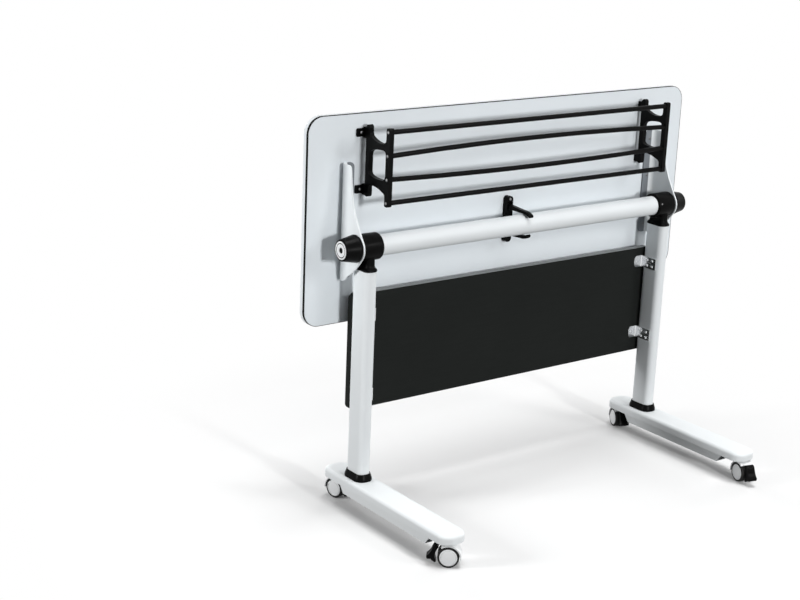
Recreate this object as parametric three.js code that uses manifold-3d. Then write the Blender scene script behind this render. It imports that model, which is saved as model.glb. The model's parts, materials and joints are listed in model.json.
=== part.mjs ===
// Flip top training table with its top folded upright for nesting.
// Millimetres, +Z up, floor at zero; the sitter's side is -Y and the length of the top runs along X.
import * as THREE from "three";
import { mergeVertices } from "three/addons/utils/BufferGeometryUtils.js";
import Module from "manifold-3d";

const wasm = await Module();
wasm.setup();

// Fits
const seat = 0.25; // gap between pieces that rest on or in one another
const running = 0.4; // radial gap between pieces that turn in one another

// Facets round a full turn, and round a corner of a ring
const wideFacets = 28;
const wheelFacets = 20;
const narrowFacets = 12;
const rodSteps = 8; // straight lengths in an arched rod
const screwFacets = 8;
const cornerFacets = 4;

// Tabletop
const topLength = 1200;
const topDepth = 500;
const topThickness = 18;
const topCorner = 40; // corner radius in plan
const bandThickness = 1;
const darkStripe = 7; // dark part of the edge band, next to the underside
const workHeight = 743; // work surface above the floor with the top laid flat
const topAhead = 300; // part of the depth that lies ahead of the beam
const undersideGap = 70; // beam axis to the underside of the top

// Beam and hubs
const beamRadius = 25;
const beamWall = 2;
const hubWall = 7;
const hubInner = 31; // sleeve reach from the column centre towards the middle of the table
const hubOuter = 25; // sleeve reach from the column centre outwards
const hubWeb = 16; // end wall that carries the pivot bolt
const hubDrop = 54; // beam axis to the bottom of the hub flange
const hubFlange = 4;
const hubFlare = 8; // height of the flare above the flange
const neckInset = 5; // column to the waist of the neck
const flangeSpread = 1.5;
const spigotLength = 40;
const boltRadius = 11;

// Columns and feet
const columnInset = 122; // end of the top to the column centre
const columnWidth = 34;
const columnDepth = 62;
const columnCorner = 14; // corner radius of the column in plan
const columnWall = 2;
const collarHeight = 18;
const collarSpread = 7;
const footLength = 496;
const footWidth = 72;
const footRear = 108; // foot reach behind the beam axis
const footCorner = 28; // corner radius of the foot in plan
const footTop = 80;
const coverHeight = 22;
const coverWall = 3;
const coverEdge = 9; // soft edge round the top of the cover
const railWidth = 52;
const railBottom = 33;
const railWall = 3;
const railInset = 50; // foot end to the upper corner of the rail
const railSlant = 33;

// Tilt plates and end knobs
const plateThickness = 4;
const plateGap = 1; // free play on each side of the turning plate
const plateAbove = 188; // flange reach above the beam with the top upright
const plateBelow = 90;
const plateTail = 40; // depth of the fin at its upper end
const plateNose = 34; // radius of the rounded nose round the pivot
const flangeWidth = 36;
const bendRadius = 14;
const knobLength = 40;
const knobBase = 33;
const knobEnd = 25.5;
const discRadius = 21.5;
const discThickness = 3;
const postRadius = 6.5; // middle of the knob that shows through the disc

// Book basket
const basketInset = 36; // column centre to the middle of the end bracket
const basketDepth = 99; // underside to the middle of the rods
const basketBar = 12; // bracket width along the table
const outerBar = 14; // depth of the bar that carries the rods
const innerBar = 14;
const innerOffset = 20; // underside to the middle of the inner bar
const rodRadius = 6;
const rodSag = 7; // drop of the second rod from below, in its middle
const rodArch = 9; // rise of the third rod from below, in its middle
const rodRise = [0, -rodSag, rodArch, 0]; // rods from the lowest up
const rodCount = rodRise.length;
const rodFirst = 106; // beam axis to the lowest rod with the top upright
const rodPitch = 55;
const rodOverhang = 9;
const padReach = 20; // screw pad reach from the bracket outwards
const padHeight = 20;
const padThickness = 4;

// Latch and release lever
const housingWidth = 20;
const housingDepth = 16;
const housingAbove = 60;
const housingBelow = 58;
const leverWidth = 12;
const leverThickness = 8;
const leverGap = 2.6; // beam to the lever at rest
const leverReach = 30; // lever tip ahead of the beam axis
const armReach = 24; // latch arm tip ahead of the beam axis
const leverPin = 2.5;

// Modesty panel and clips
const panelPast = 10; // panel reach past each column centre
const panelHeight = 290;
const panelThickness = 18;
const panelTop = 532;
const panelGap = 3; // column to the front of the panel
const panelCorner = 14;
const clipThickness = 2;
const clipHeight = 31;
const clipReach = 55; // clip leg along the column, measured from the panel
const clipSpan = 20; // clip leg along the panel
const clipEdge = 22; // panel edge to the nearer edge of the clip
const screwRadius = 3.5;

// Castors
const wheelRadius = 25;
const wheelWidth = 14;
const wheelGap = 0.75;
const tyreDepth = 4.3;
const webThickness = 7;
const axleRadius = 4;
const castorInset = 18; // foot end to the castor stem
const castorTrail = 6; // stem to the axle
const hoodGap = 1.5; // tyre to the inside of the hood
const hoodWall = 3;
const stemRadius = 5;
const stemLength = 12;
const stemBoss = 13;
const swivelRadius = 13;
const pedalWall = 10;
const pedalGap = 1.2; // hood to the inside of the pedal
const pedalHalf = 11;
const pedalLip = 9.5; // toe reach past the flap
const pedalHinge = 4; // radius of the pedal's barrel
const pedalTop = 42; // angles round the axle, in degrees
const pedalHeel = -27;
const hoodFront = 54;
const hoodRear = 188;
const leftFrontHeading = 139;
const rightFrontHeading = -104;
const leftRearHeading = -75;
const rightRearHeading = -112;

// Sizes that follow from those above
const beamHeight = workHeight - topThickness - undersideGap;
const columnX = topLength / 2 - columnInset;
const hubRadius = beamRadius + seat + hubWall;
const hubStart = columnX - hubInner;
const hubEnd = columnX + hubOuter;
const plateStart = hubEnd + plateGap;
const plateEnd = plateStart + plateThickness;
const knobStart = plateEnd + plateGap;
const knobStop = knobStart + knobLength;
const boltEnd = knobStart + 0.55 * knobLength;
const footFront = footRear - footLength;
const footMiddle = (footRear + footFront) / 2;
const footSeam = footTop - coverHeight;
const basketX = columnX - basketInset;
const rodY = undersideGap - basketDepth;
const panelFront = columnDepth / 2 + panelGap;
const castorHeight = footSeam - seat;
const hubPlateRadius = wheelRadius - tyreDepth;
const wheelStart = webThickness / 2 + wheelGap;
const wheelEnd = wheelStart + wheelWidth;
const hoodInside = wheelRadius + hoodGap;
const hoodOutside = hoodInside + hoodWall;
const pedalInside = hoodOutside + pedalGap;
const pedalOutside = pedalInside + pedalWall;

// Colours of the finishes
const lightLaminate = [0xe4e6e8, 0.45, 0];
const lightBand = [0xe9ebec, 0.4, 0];
const darkBand = [0x1b1b1d, 0.5, 0];
const whitePaint = [0xeceeef, 0.35, 0.1];
const blackPlastic = [0x161617, 0.5, 0];
const blackPaint = [0x141415, 0.4, 0.2];
const charcoalBoard = [0x2c2d30, 0.6, 0];
const brightSteel = [0xc8ccd0, 0.25, 1];
const paleCap = [0xd9dbdc, 0.4, 0];
const blackRubber = [0x18181a, 0.8, 0];

const radians = (degrees) => THREE.MathUtils.degToRad(degrees);

// Mesh to solid and back
function toSolid(geometry) {
  const loose = geometry.index ? geometry.toNonIndexed() : geometry.clone();
  loose.deleteAttribute("normal");
  loose.deleteAttribute("uv");
  const merged = mergeVertices(loose, 1e-4);
  const triVerts = new Uint32Array(merged.index.array);
  const vertProperties = merged.attributes.position.array;
  return new wasm.Manifold(new wasm.Mesh({ numProp: 3, vertProperties, triVerts }));
}

function toGeometry(solid) {
  const mesh = solid.getMesh();
  const geometry = new THREE.BufferGeometry();
  geometry.setAttribute("position", new THREE.BufferAttribute(mesh.vertProperties, 3));
  geometry.setIndex(new THREE.BufferAttribute(mesh.triVerts, 1));
  const faceted = geometry.toNonIndexed();
  faceted.computeVertexNormals();
  return faceted;
}

const joined = (first, ...others) =>
  toGeometry(others.reduce((solid, other) => solid.add(toSolid(other)), toSolid(first)));
const cut = (first, ...tools) =>
  toGeometry(tools.reduce((solid, tool) => solid.subtract(toSolid(tool)), toSolid(first)));
const common = (first, ...others) =>
  toGeometry(others.reduce((solid, other) => solid.intersect(toSolid(other)), toSolid(first)));

// Closed skin over a stack of convex rings that run anticlockwise seen from the last ring
function skin(rings) {
  const count = rings[0].length;
  const last = (rings.length - 1) * count;
  const faces = [];
  for (let start = 0; start < last; start += count) {
    for (let i = 0; i < count; i++) {
      const here = start + i;
      const next = start + ((i + 1) % count);
      faces.push(here, next, next + count, here, next + count, here + count);
    }
  }
  for (let i = 1; i + 1 < count; i++) {
    faces.push(0, i + 1, i);
    faces.push(last, last + i, last + i + 1);
  }
  const geometry = new THREE.BufferGeometry().setFromPoints(rings.flat());
  geometry.setIndex(faces);
  return geometry;
}

// Rounded rectangle at height z, centred on (x, y)
function cornerRing(halfWidth, halfLength, corner, z, x, y) {
  const ring = [];
  for (let quarter = 0; quarter < 4; quarter++) {
    const across = quarter === 0 || quarter === 3 ? 1 : -1;
    const along = quarter < 2 ? 1 : -1;
    for (let i = 0; i <= cornerFacets; i++) {
      const turn = (Math.PI / 2) * (quarter + i / cornerFacets);
      ring.push(new THREE.Vector3(
        x + across * (halfWidth - corner) + corner * Math.cos(turn),
        y + along * (halfLength - corner) + corner * Math.sin(turn), z));
    }
  }
  return ring;
}

// Solid of revolution round Y from [radius, along] points that climb on the outside
const lathed = (profile, steps) =>
  new THREE.LatheGeometry(profile.map(([radius, along]) => new THREE.Vector2(radius, along)), steps);

// The same with its axis along X, or along Z
const turnedX = (profile, steps) => lathed(profile, steps).rotateZ(-Math.PI / 2);
const turnedZ = (profile, steps) => lathed(profile, steps).rotateX(Math.PI / 2);

const rodProfile = (radius, start, stop) => [[0, start], [radius, start], [radius, stop], [0, stop]];
const tubeProfile = (inner, outer, start, stop) =>
  [[inner, start], [outer, start], [outer, stop], [inner, stop], [inner, start]];
const domeProfile = (radius, height) =>
  [[0, 0], [radius, 0], [0.7 * radius, height], [0, height]];

// Flat shape pushed out along an axis: a (y, z) shape along X, or an (x, z) shape along Y
const extruded = (shape, depth, steps) =>
  new THREE.ExtrudeGeometry(shape, { depth, bevelEnabled: false, curveSegments: steps });

function acrossX(shape, start, stop, steps = 4) {
  const turn = new THREE.Matrix4().makeBasis(
    new THREE.Vector3(0, 1, 0), new THREE.Vector3(0, 0, 1), new THREE.Vector3(1, 0, 0));
  return extruded(shape, stop - start, steps).applyMatrix4(turn).translate(start, 0, 0);
}

const acrossY = (shape, start, stop, steps = 4) =>
  extruded(shape, stop - start, steps).rotateX(Math.PI / 2).translate(0, stop, 0);

function block(x0, x1, y0, y1, z0, z1) {
  const box = new THREE.BoxGeometry(x1 - x0, y1 - y0, z1 - z0);
  return box.translate((x0 + x1) / 2, (y0 + y1) / 2, (z0 + z1) / 2);
}

function roundedOutline(path, left, right, low, high, radius) {
  path.moveTo(left + radius, low);
  path.lineTo(right - radius, low);
  path.absarc(right - radius, low + radius, radius, -Math.PI / 2, 0, false);
  path.lineTo(right, high - radius);
  path.absarc(right - radius, high - radius, radius, 0, Math.PI / 2, false);
  path.lineTo(left + radius, high);
  path.absarc(left + radius, high - radius, radius, Math.PI / 2, Math.PI, false);
  path.lineTo(left, low + radius);
  path.absarc(left + radius, low + radius, radius, Math.PI, 1.5 * Math.PI, false);
  return path;
}

const roundedShape = (...sizes) => roundedOutline(new THREE.Shape(), ...sizes);

// Small domed screw head whose base lies on a face that looks along -Y, or along -X
const screwY = (x, y, z) =>
  lathed(domeProfile(screwRadius, 2), screwFacets).rotateX(Math.PI).translate(x, y + 0.1, z);
const screwInX = (x, y, z) =>
  lathed(domeProfile(screwRadius, 2), screwFacets).rotateZ(Math.PI / 2).translate(x + 0.1, y, z);
const screwOutX = (x, y, z) =>
  lathed(domeProfile(screwRadius, 2), screwFacets).rotateZ(-Math.PI / 2).translate(x - 0.1, y, z);

// Placing of the pieces
const table = new THREE.Group();
table.name = "flip_top_table";
const topGroup = new THREE.Group();
topGroup.position.z = beamHeight;
table.add(topGroup);

function place(parent, name, geometry, [color, roughness, metalness]) {
  const mesh = new THREE.Mesh(geometry, new THREE.MeshStandardMaterial({ color, roughness, metalness }));
  mesh.name = name;
  parent.add(mesh);
  return mesh;
}

// A piece made for the +X side and its mirror image for the -X side
function placePair(parent, name, geometry, finish) {
  place(parent, name + "_right", geometry, finish);
  place(parent, name + "_left", geometry.clone(), finish).scale.x = -1;
}

// Tabletop board with a two-tone edge band
function buildTop() {
  const sizes = (inset) => [
    -topLength / 2 + inset, topLength / 2 - inset,
    topAhead - topDepth + inset, topAhead - inset, topCorner - inset];
  const face = undersideGap + topThickness;
  const split = undersideGap + darkStripe;
  place(topGroup, "tabletop_board",
    acrossY(roundedShape(...sizes(bandThickness + seat)), undersideGap, face), lightLaminate);
  const bandShape = () => {
    const shape = roundedShape(...sizes(0));
    shape.holes.push(roundedOutline(new THREE.Path(), ...sizes(bandThickness)));
    return shape;
  };
  place(topGroup, "edge_band_dark", acrossY(bandShape(), undersideGap, split - seat / 2), darkBand);
  place(topGroup, "edge_band_light", acrossY(bandShape(), split + seat / 2, face), lightBand);
}

// Round beam between the hubs
function buildBeam() {
  const half = hubEnd - hubWeb - seat;
  const tube = turnedX(tubeProfile(beamRadius - beamWall, beamRadius, -half, half), wideFacets);
  place(table, "beam_tube", tube.translate(0, 0, beamHeight), whitePaint);
}

// Outline of a column at height z, wider than the tube by more
const columnRing = (more, z) =>
  cornerRing(columnWidth / 2 + more, columnDepth / 2 + more, columnCorner + more, z, columnX, 0);

// T-shaped hub: a sleeve for the beam, a neck with a flange and a spigot inside the column
function buildHubs() {
  const sleeve = turnedX([
    [0, hubStart], [hubRadius - 3, hubStart], [hubRadius, hubStart + 3],
    [hubRadius, hubEnd - 2], [hubRadius - 2, hubEnd], [0, hubEnd]], wideFacets);
  const inside = -columnWall - 2 * seat;
  const neck = skin([
    columnRing(inside, -hubDrop - spigotLength), columnRing(inside, -hubDrop), columnRing(flangeSpread, -hubDrop),
    columnRing(flangeSpread, -hubDrop + hubFlange), columnRing(-0.6 * neckInset, -hubDrop + hubFlange + 0.5 * hubFlare),
    columnRing(-neckInset, -hubDrop + hubFlange + hubFlare), columnRing(-neckInset, -hubRadius / 3)]);
  const socket = turnedX(rodProfile(beamRadius + seat, hubStart - 1, hubEnd - hubWeb), wideFacets);
  const bore = turnedX(rodProfile(boltRadius + seat, hubStart, hubEnd + 1), wheelFacets);
  const hub = cut(joined(sleeve, neck), socket, bore);
  placePair(table, "hub", hub.translate(0, 0, beamHeight), blackPlastic);
  const bolt = turnedX(rodProfile(boltRadius, hubEnd - hubWeb + seat, boltEnd), wheelFacets);
  placePair(table, "pivot_bolt", bolt.translate(0, 0, beamHeight), brightSteel);
}

// Flat-sided column tubes with a tapered collar at the foot
function buildColumns() {
  const low = footTop + seat;
  const high = beamHeight - hubDrop - seat;
  const tube = cut(
    skin([columnRing(0, low), columnRing(0, high)]),
    skin([columnRing(-columnWall, low - 1), columnRing(-columnWall, high + 1)]));
  placePair(table, "column", tube, whitePaint);
  const crown = low + collarHeight;
  const collar = cut(
    skin([columnRing(collarSpread, low), columnRing(collarSpread, low + 5), columnRing(0.4 * collarSpread, crown)]),
    skin([columnRing(seat, low - 1), columnRing(seat, crown + 1)]));
  placePair(table, "column_collar", collar, blackPlastic);
}

// Foot cover: an open pan with rounded ends, soft upper edges and a boss for each castor stem
function buildFeet() {
  const ring = (inset, z) =>
    cornerRing(footWidth / 2 - inset, footLength / 2 - inset, footCorner - inset, z, columnX, footMiddle);
  const soft = [0, 40, 90].map((degrees) =>
    ring(coverEdge * (1 - Math.cos(radians(degrees))),
      footTop - coverEdge + coverEdge * Math.sin(radians(degrees))));
  const shell = cut(
    skin([ring(0, footSeam), ...soft]),
    skin([ring(coverWall, footSeam - 1), ring(coverWall, footTop - coverEdge),
      ring(coverEdge, footTop - coverWall)]));
  const stems = [footFront + castorInset, footRear - castorInset];
  const bosses = stems.map((y) =>
    turnedZ(rodProfile(stemBoss, footSeam + 1, footTop - 0.8 * coverWall), narrowFacets)
      .translate(columnX, y, 0));
  const bores = stems.map((y) =>
    turnedZ(rodProfile(stemRadius + running, footSeam - 1, castorHeight + stemLength + 1), narrowFacets)
      .translate(columnX, y, 0));
  placePair(table, "foot_cover", cut(joined(shell, ...bosses), ...bores), whitePaint);

  const railTop = footTop - coverWall - seat;
  const front = footFront + railInset;
  const rear = footRear - railInset;
  const side = new THREE.Shape();
  side.moveTo(front + railSlant, railBottom);
  side.lineTo(rear - railSlant, railBottom);
  side.lineTo(rear, railTop);
  side.lineTo(front, railTop);
  const rail = cut(
    acrossX(side, columnX - railWidth / 2, columnX + railWidth / 2),
    block(columnX - railWidth / 2 + railWall, columnX + railWidth / 2 - railWall,
      front - 1, rear + 1, railBottom + railWall, railTop - railWall));
  placePair(table, "foot_rail", rail, whitePaint);
}

// Tilt plate: a fin round the pivot, bent over into a flange under the top
function buildPlates() {
  const back = undersideGap - seat;
  const inner = plateEnd - flangeWidth;
  const angle = new THREE.Shape();
  angle.moveTo(plateStart, -2 * plateNose);
  angle.lineTo(plateEnd, -2 * plateNose);
  angle.lineTo(plateEnd, back - bendRadius);
  angle.absarc(plateEnd - bendRadius, back - bendRadius, bendRadius, 0, Math.PI / 2, false);
  angle.lineTo(inner, back);
  angle.lineTo(inner, back - plateThickness);
  angle.lineTo(plateEnd - bendRadius, back - plateThickness);
  angle.absarc(plateEnd - bendRadius, back - bendRadius, bendRadius - plateThickness, Math.PI / 2, 0, true);
  const bar = extruded(angle, plateAbove + plateBelow, 3).translate(0, 0, -plateBelow);

  const tail = undersideGap - plateTail;
  const side = new THREE.Shape();
  side.moveTo(undersideGap, -plateBelow);
  side.lineTo(undersideGap, plateAbove);
  side.lineTo(tail + 8, plateAbove);
  side.quadraticCurveTo(tail, plateAbove, tail - 1, plateAbove - 10);
  side.bezierCurveTo(tail - 14, 0.5 * plateAbove, tail - 16, 0.42 * plateAbove,
    -plateNose * Math.cos(radians(42)), plateNose * Math.sin(radians(42)));
  side.absarc(0, 0, plateNose, radians(138), radians(215), false);
  side.quadraticCurveTo(-0.35 * plateNose, -0.5 * plateBelow, 0.45 * undersideGap, -0.84 * plateBelow);
  side.quadraticCurveTo(0.6 * undersideGap, -plateBelow, 0.75 * undersideGap, -plateBelow);

  const corner = 12;
  const front = roundedShape(inner, plateEnd + corner, -plateBelow, plateAbove, corner);
  const plate = common(bar,
    acrossX(side, inner - 1, plateEnd + 1, 5),
    acrossY(front, -2 * plateNose, undersideGap, 3));
  const hole = turnedX(rodProfile(boltRadius + running, plateStart - 1, plateEnd + 1), wheelFacets);
  const screwX = inner + 0.4 * flangeWidth;
  const screws = [-0.75 * plateBelow, 0.35 * plateAbove, 0.88 * plateAbove].map((z) =>
    screwY(screwX, back - plateThickness, z));
  placePair(topGroup, "tilt_plate", joined(cut(plate, hole), ...screws), whitePaint);
}

// Conical knob on the end of the pivot bolt, closed by a plain disc
function buildKnobs() {
  const recess = discRadius + seat;
  const floor = knobStop - discThickness;
  const bore = boltRadius + seat;
  const knob = turnedX([
    [0, boltEnd + seat], [bore, boltEnd + seat], [bore, knobStart], [knobBase - 2, knobStart],
    [knobBase, knobStart + 2], [0.45 * knobBase + 0.55 * knobEnd, knobStart + 0.55 * knobLength],
    [knobEnd + 0.6, knobStop - 4], [knobEnd - 2, knobStop], [recess, knobStop], [recess, floor],
    [postRadius, floor], [postRadius, knobStop - 0.5], [0, knobStop - 0.5]], wideFacets);
  placePair(table, "end_knob", knob.translate(0, 0, beamHeight), blackPlastic);
  const hole = postRadius + seat;
  const disc = turnedX([
    [hole, floor + seat], [discRadius, floor + seat], [discRadius, knobStop],
    [discRadius - 1, knobStop + 0.8], [hole, knobStop + 0.8], [hole, floor + seat]], wideFacets);
  placePair(table, "knob_disc", disc.translate(0, 0, beamHeight), paleCap);
}

// Round rod along X whose middle rises in a shallow arch
function bowedRod(half, rise) {
  const steps = rise === 0 ? 1 : rodSteps;
  const rings = [];
  for (let step = 0; step <= steps; step++) {
    const along = (2 * step) / steps - 1;
    const lift = rise * (1 - along * along);
    const ring = [];
    for (let i = 0; i < narrowFacets; i++) {
      const turn = (2 * Math.PI * i) / narrowFacets;
      ring.push(new THREE.Vector3(
        along * half, rodRadius * Math.cos(turn), lift + rodRadius * Math.sin(turn)));
    }
    rings.push(ring);
  }
  return skin(rings);
}

// Book basket: a cast bracket at each end and four rods between them
function buildBasket() {
  const low = rodFirst - rodOverhang;
  const last = rodFirst + (rodCount - 1) * rodPitch;
  const high = last + rodOverhang;
  const tall = high - low;
  const outer = [rodY - outerBar / 2, rodY + outerBar / 2];
  const innerY = undersideGap - innerOffset;
  const inner = [innerY - innerBar / 2, innerY + innerBar / 2];
  const middle = (outer[1] + inner[0]) / 2;
  const up = (share) => low + share * tall;

  const shape = new THREE.Shape();
  shape.moveTo(outer[0], low + 4);
  shape.quadraticCurveTo(outer[0], low, outer[0] + 4, low);
  shape.lineTo(outer[1] - 4, low);
  shape.quadraticCurveTo(outer[1], low, outer[1], low + 4);
  shape.lineTo(outer[1], up(0.14));
  shape.quadraticCurveTo(middle, up(0.25), inner[0], up(0.19));
  shape.absarc(innerY, up(0.05) + innerBar / 2, innerBar / 2, Math.PI, 2 * Math.PI, false);
  shape.absarc(innerY, up(0.98) - innerBar / 2, innerBar / 2, 0, Math.PI, false);
  shape.lineTo(inner[0], up(0.87));
  shape.quadraticCurveTo(middle, up(0.73), outer[1], up(0.83));
  shape.lineTo(outer[1], high - 4);
  shape.quadraticCurveTo(outer[1], high, outer[1] - 4, high);
  shape.lineTo(outer[0] + 4, high);
  shape.quadraticCurveTo(outer[0], high, outer[0], high - 4);
  const opening = new THREE.Path();
  opening.moveTo(outer[1], up(0.34));
  opening.lineTo(outer[1], up(0.69));
  opening.quadraticCurveTo(middle, up(0.715), inner[0], up(0.62));
  opening.lineTo(inner[0], up(0.38));
  opening.quadraticCurveTo(middle, up(0.31), outer[1], up(0.34));
  shape.holes.push(opening);

  const start = basketX - basketBar / 2;
  const stop = basketX + basketBar / 2;
  const back = undersideGap - seat;
  const pieces = [up(0.133), up(0.866)].flatMap((z) => [
    block(start, stop, innerY, back, z - 0.65 * padHeight, z + 0.65 * padHeight),
    block(start, stop + padReach, back - padThickness, back, z - padHeight / 2, z + padHeight / 2),
    screwY(stop + 0.35 * padReach, back - padThickness, z)]);
  for (let i = 0; i < rodCount; i++) {
    pieces.push(screwOutX(stop, rodY, rodFirst + i * rodPitch));
  }
  placePair(topGroup, "basket_end", joined(acrossX(shape, start, stop, 5), ...pieces), blackPaint);

  const half = start - seat;
  rodRise.forEach((rise, i) => {
    const rod = bowedRod(half, rise).translate(0, rodY, rodFirst + i * rodPitch);
    place(topGroup, "basket_rod_" + (i + 1), rod, blackPaint);
  });
}

// Latch: a housing under the top, a lever that reaches over the beam and an arm that closes below it
function buildLatch() {
  const back = undersideGap - seat;
  const face = undersideGap - housingDepth;
  const barrel = 0.8 * leverThickness;
  const under = beamRadius + leverGap;
  const pivotY = undersideGap - 0.55 * housingDepth;
  const pivotZ = under + barrel;
  const half = housingWidth / 2;
  const pinHalf = half - 1;
  const round = 0.9 * half;
  const shell = acrossY(roundedShape(-half, half, -housingBelow, housingAbove, round), face, back);
  const slotHalf = leverWidth / 2 + running;
  const slot = (low, high) =>
    block(-slotHalf, slotHalf, face - 1, pivotY + barrel + 1, low, high);
  const slotLow = under - 2;
  const slotHigh = pivotZ + barrel + 4;
  const pinBore = (z) =>
    turnedX(rodProfile(leverPin + seat, -pinHalf - seat, half + 1), screwFacets).translate(0, pivotY, z);
  const housing = cut(shell, slot(slotLow, slotHigh), slot(-slotHigh, -slotLow),
    pinBore(pivotZ), pinBore(-pivotZ));
  const screwZ = (slotHigh + housingAbove) / 2;
  place(topGroup, "latch_housing", joined(housing, screwY(0, face, screwZ)), blackPlastic);

  const finger = (reach) => {
    const shape = new THREE.Shape();
    const high = under + leverThickness;
    shape.moveTo(pivotY, pivotZ + barrel);
    shape.quadraticCurveTo(0.4 * pivotY, high + 1, 0, high);
    shape.quadraticCurveTo(-0.7 * reach, high, -reach, under);
    shape.quadraticCurveTo(-reach - 2, under - 0.6 * leverThickness,
      -0.9 * reach, under - 0.75 * leverThickness);
    shape.quadraticCurveTo(-0.6 * reach, under, 0, under);
    shape.lineTo(pivotY, under);
    shape.absarc(pivotY, pivotZ, barrel, -Math.PI / 2, Math.PI / 2, false);
    const bore = turnedX(rodProfile(leverPin + running, -leverWidth, leverWidth), screwFacets);
    return cut(acrossX(shape, -leverWidth / 2, leverWidth / 2), bore.translate(0, pivotY, pivotZ));
  };
  place(topGroup, "release_lever", finger(leverReach), blackPlastic);
  place(topGroup, "latch_arm", finger(armReach), blackPlastic).scale.z = -1;
  const pin = (z) => turnedX(rodProfile(leverPin, -pinHalf, pinHalf), screwFacets).translate(0, pivotY, z);
  place(topGroup, "lever_pin", pin(pivotZ), brightSteel);
  place(topGroup, "arm_pin", pin(-pivotZ), brightSteel);
}

// Modesty panel behind the columns, held by bent clips
function buildPanel() {
  const half = columnX + panelPast;
  const low = panelTop - panelHeight;
  const panel = acrossY(roundedShape(-half, half, low, panelTop, panelCorner),
    panelFront, panelFront + panelThickness);
  place(table, "modesty_panel", panel, charcoalBoard);

  const back = panelFront - seat;
  const face = columnX - columnWidth / 2 - seat;
  const start = face - clipThickness;
  const tall = clipHeight / 2;
  const clip = (z) => {
    const along = acrossX(
      roundedShape(back - clipReach, back + 1, z - tall, z + tall, 1), start, face, 1);
    const columnLeg = common(along, block(start, face, -2 * clipReach, back, z - tall, z + tall));
    const tongue = new THREE.Shape();
    tongue.moveTo(face, z - tall);
    tongue.lineTo(face, z + tall);
    tongue.lineTo(face - clipSpan, z + tall);
    tongue.absellipse(face - clipSpan, z, 0.5 * tall, tall, Math.PI / 2, 1.5 * Math.PI, false);
    const panelLeg = acrossY(tongue, back - clipThickness, back);
    const holes = [-8, 10].flatMap((y) => [-0.5, 0.5].map((share) =>
      screwInX(start, y, z + share * tall)));
    return joined(columnLeg, panelLeg, ...holes, screwY(face - clipSpan, back - clipThickness, z));
  };
  placePair(table, "panel_clip_upper", clip(panelTop - clipEdge - tall), brightSteel);
  placePair(table, "panel_clip_lower", clip(low + 1.75 * clipEdge + tall), brightSteel);
}

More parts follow.
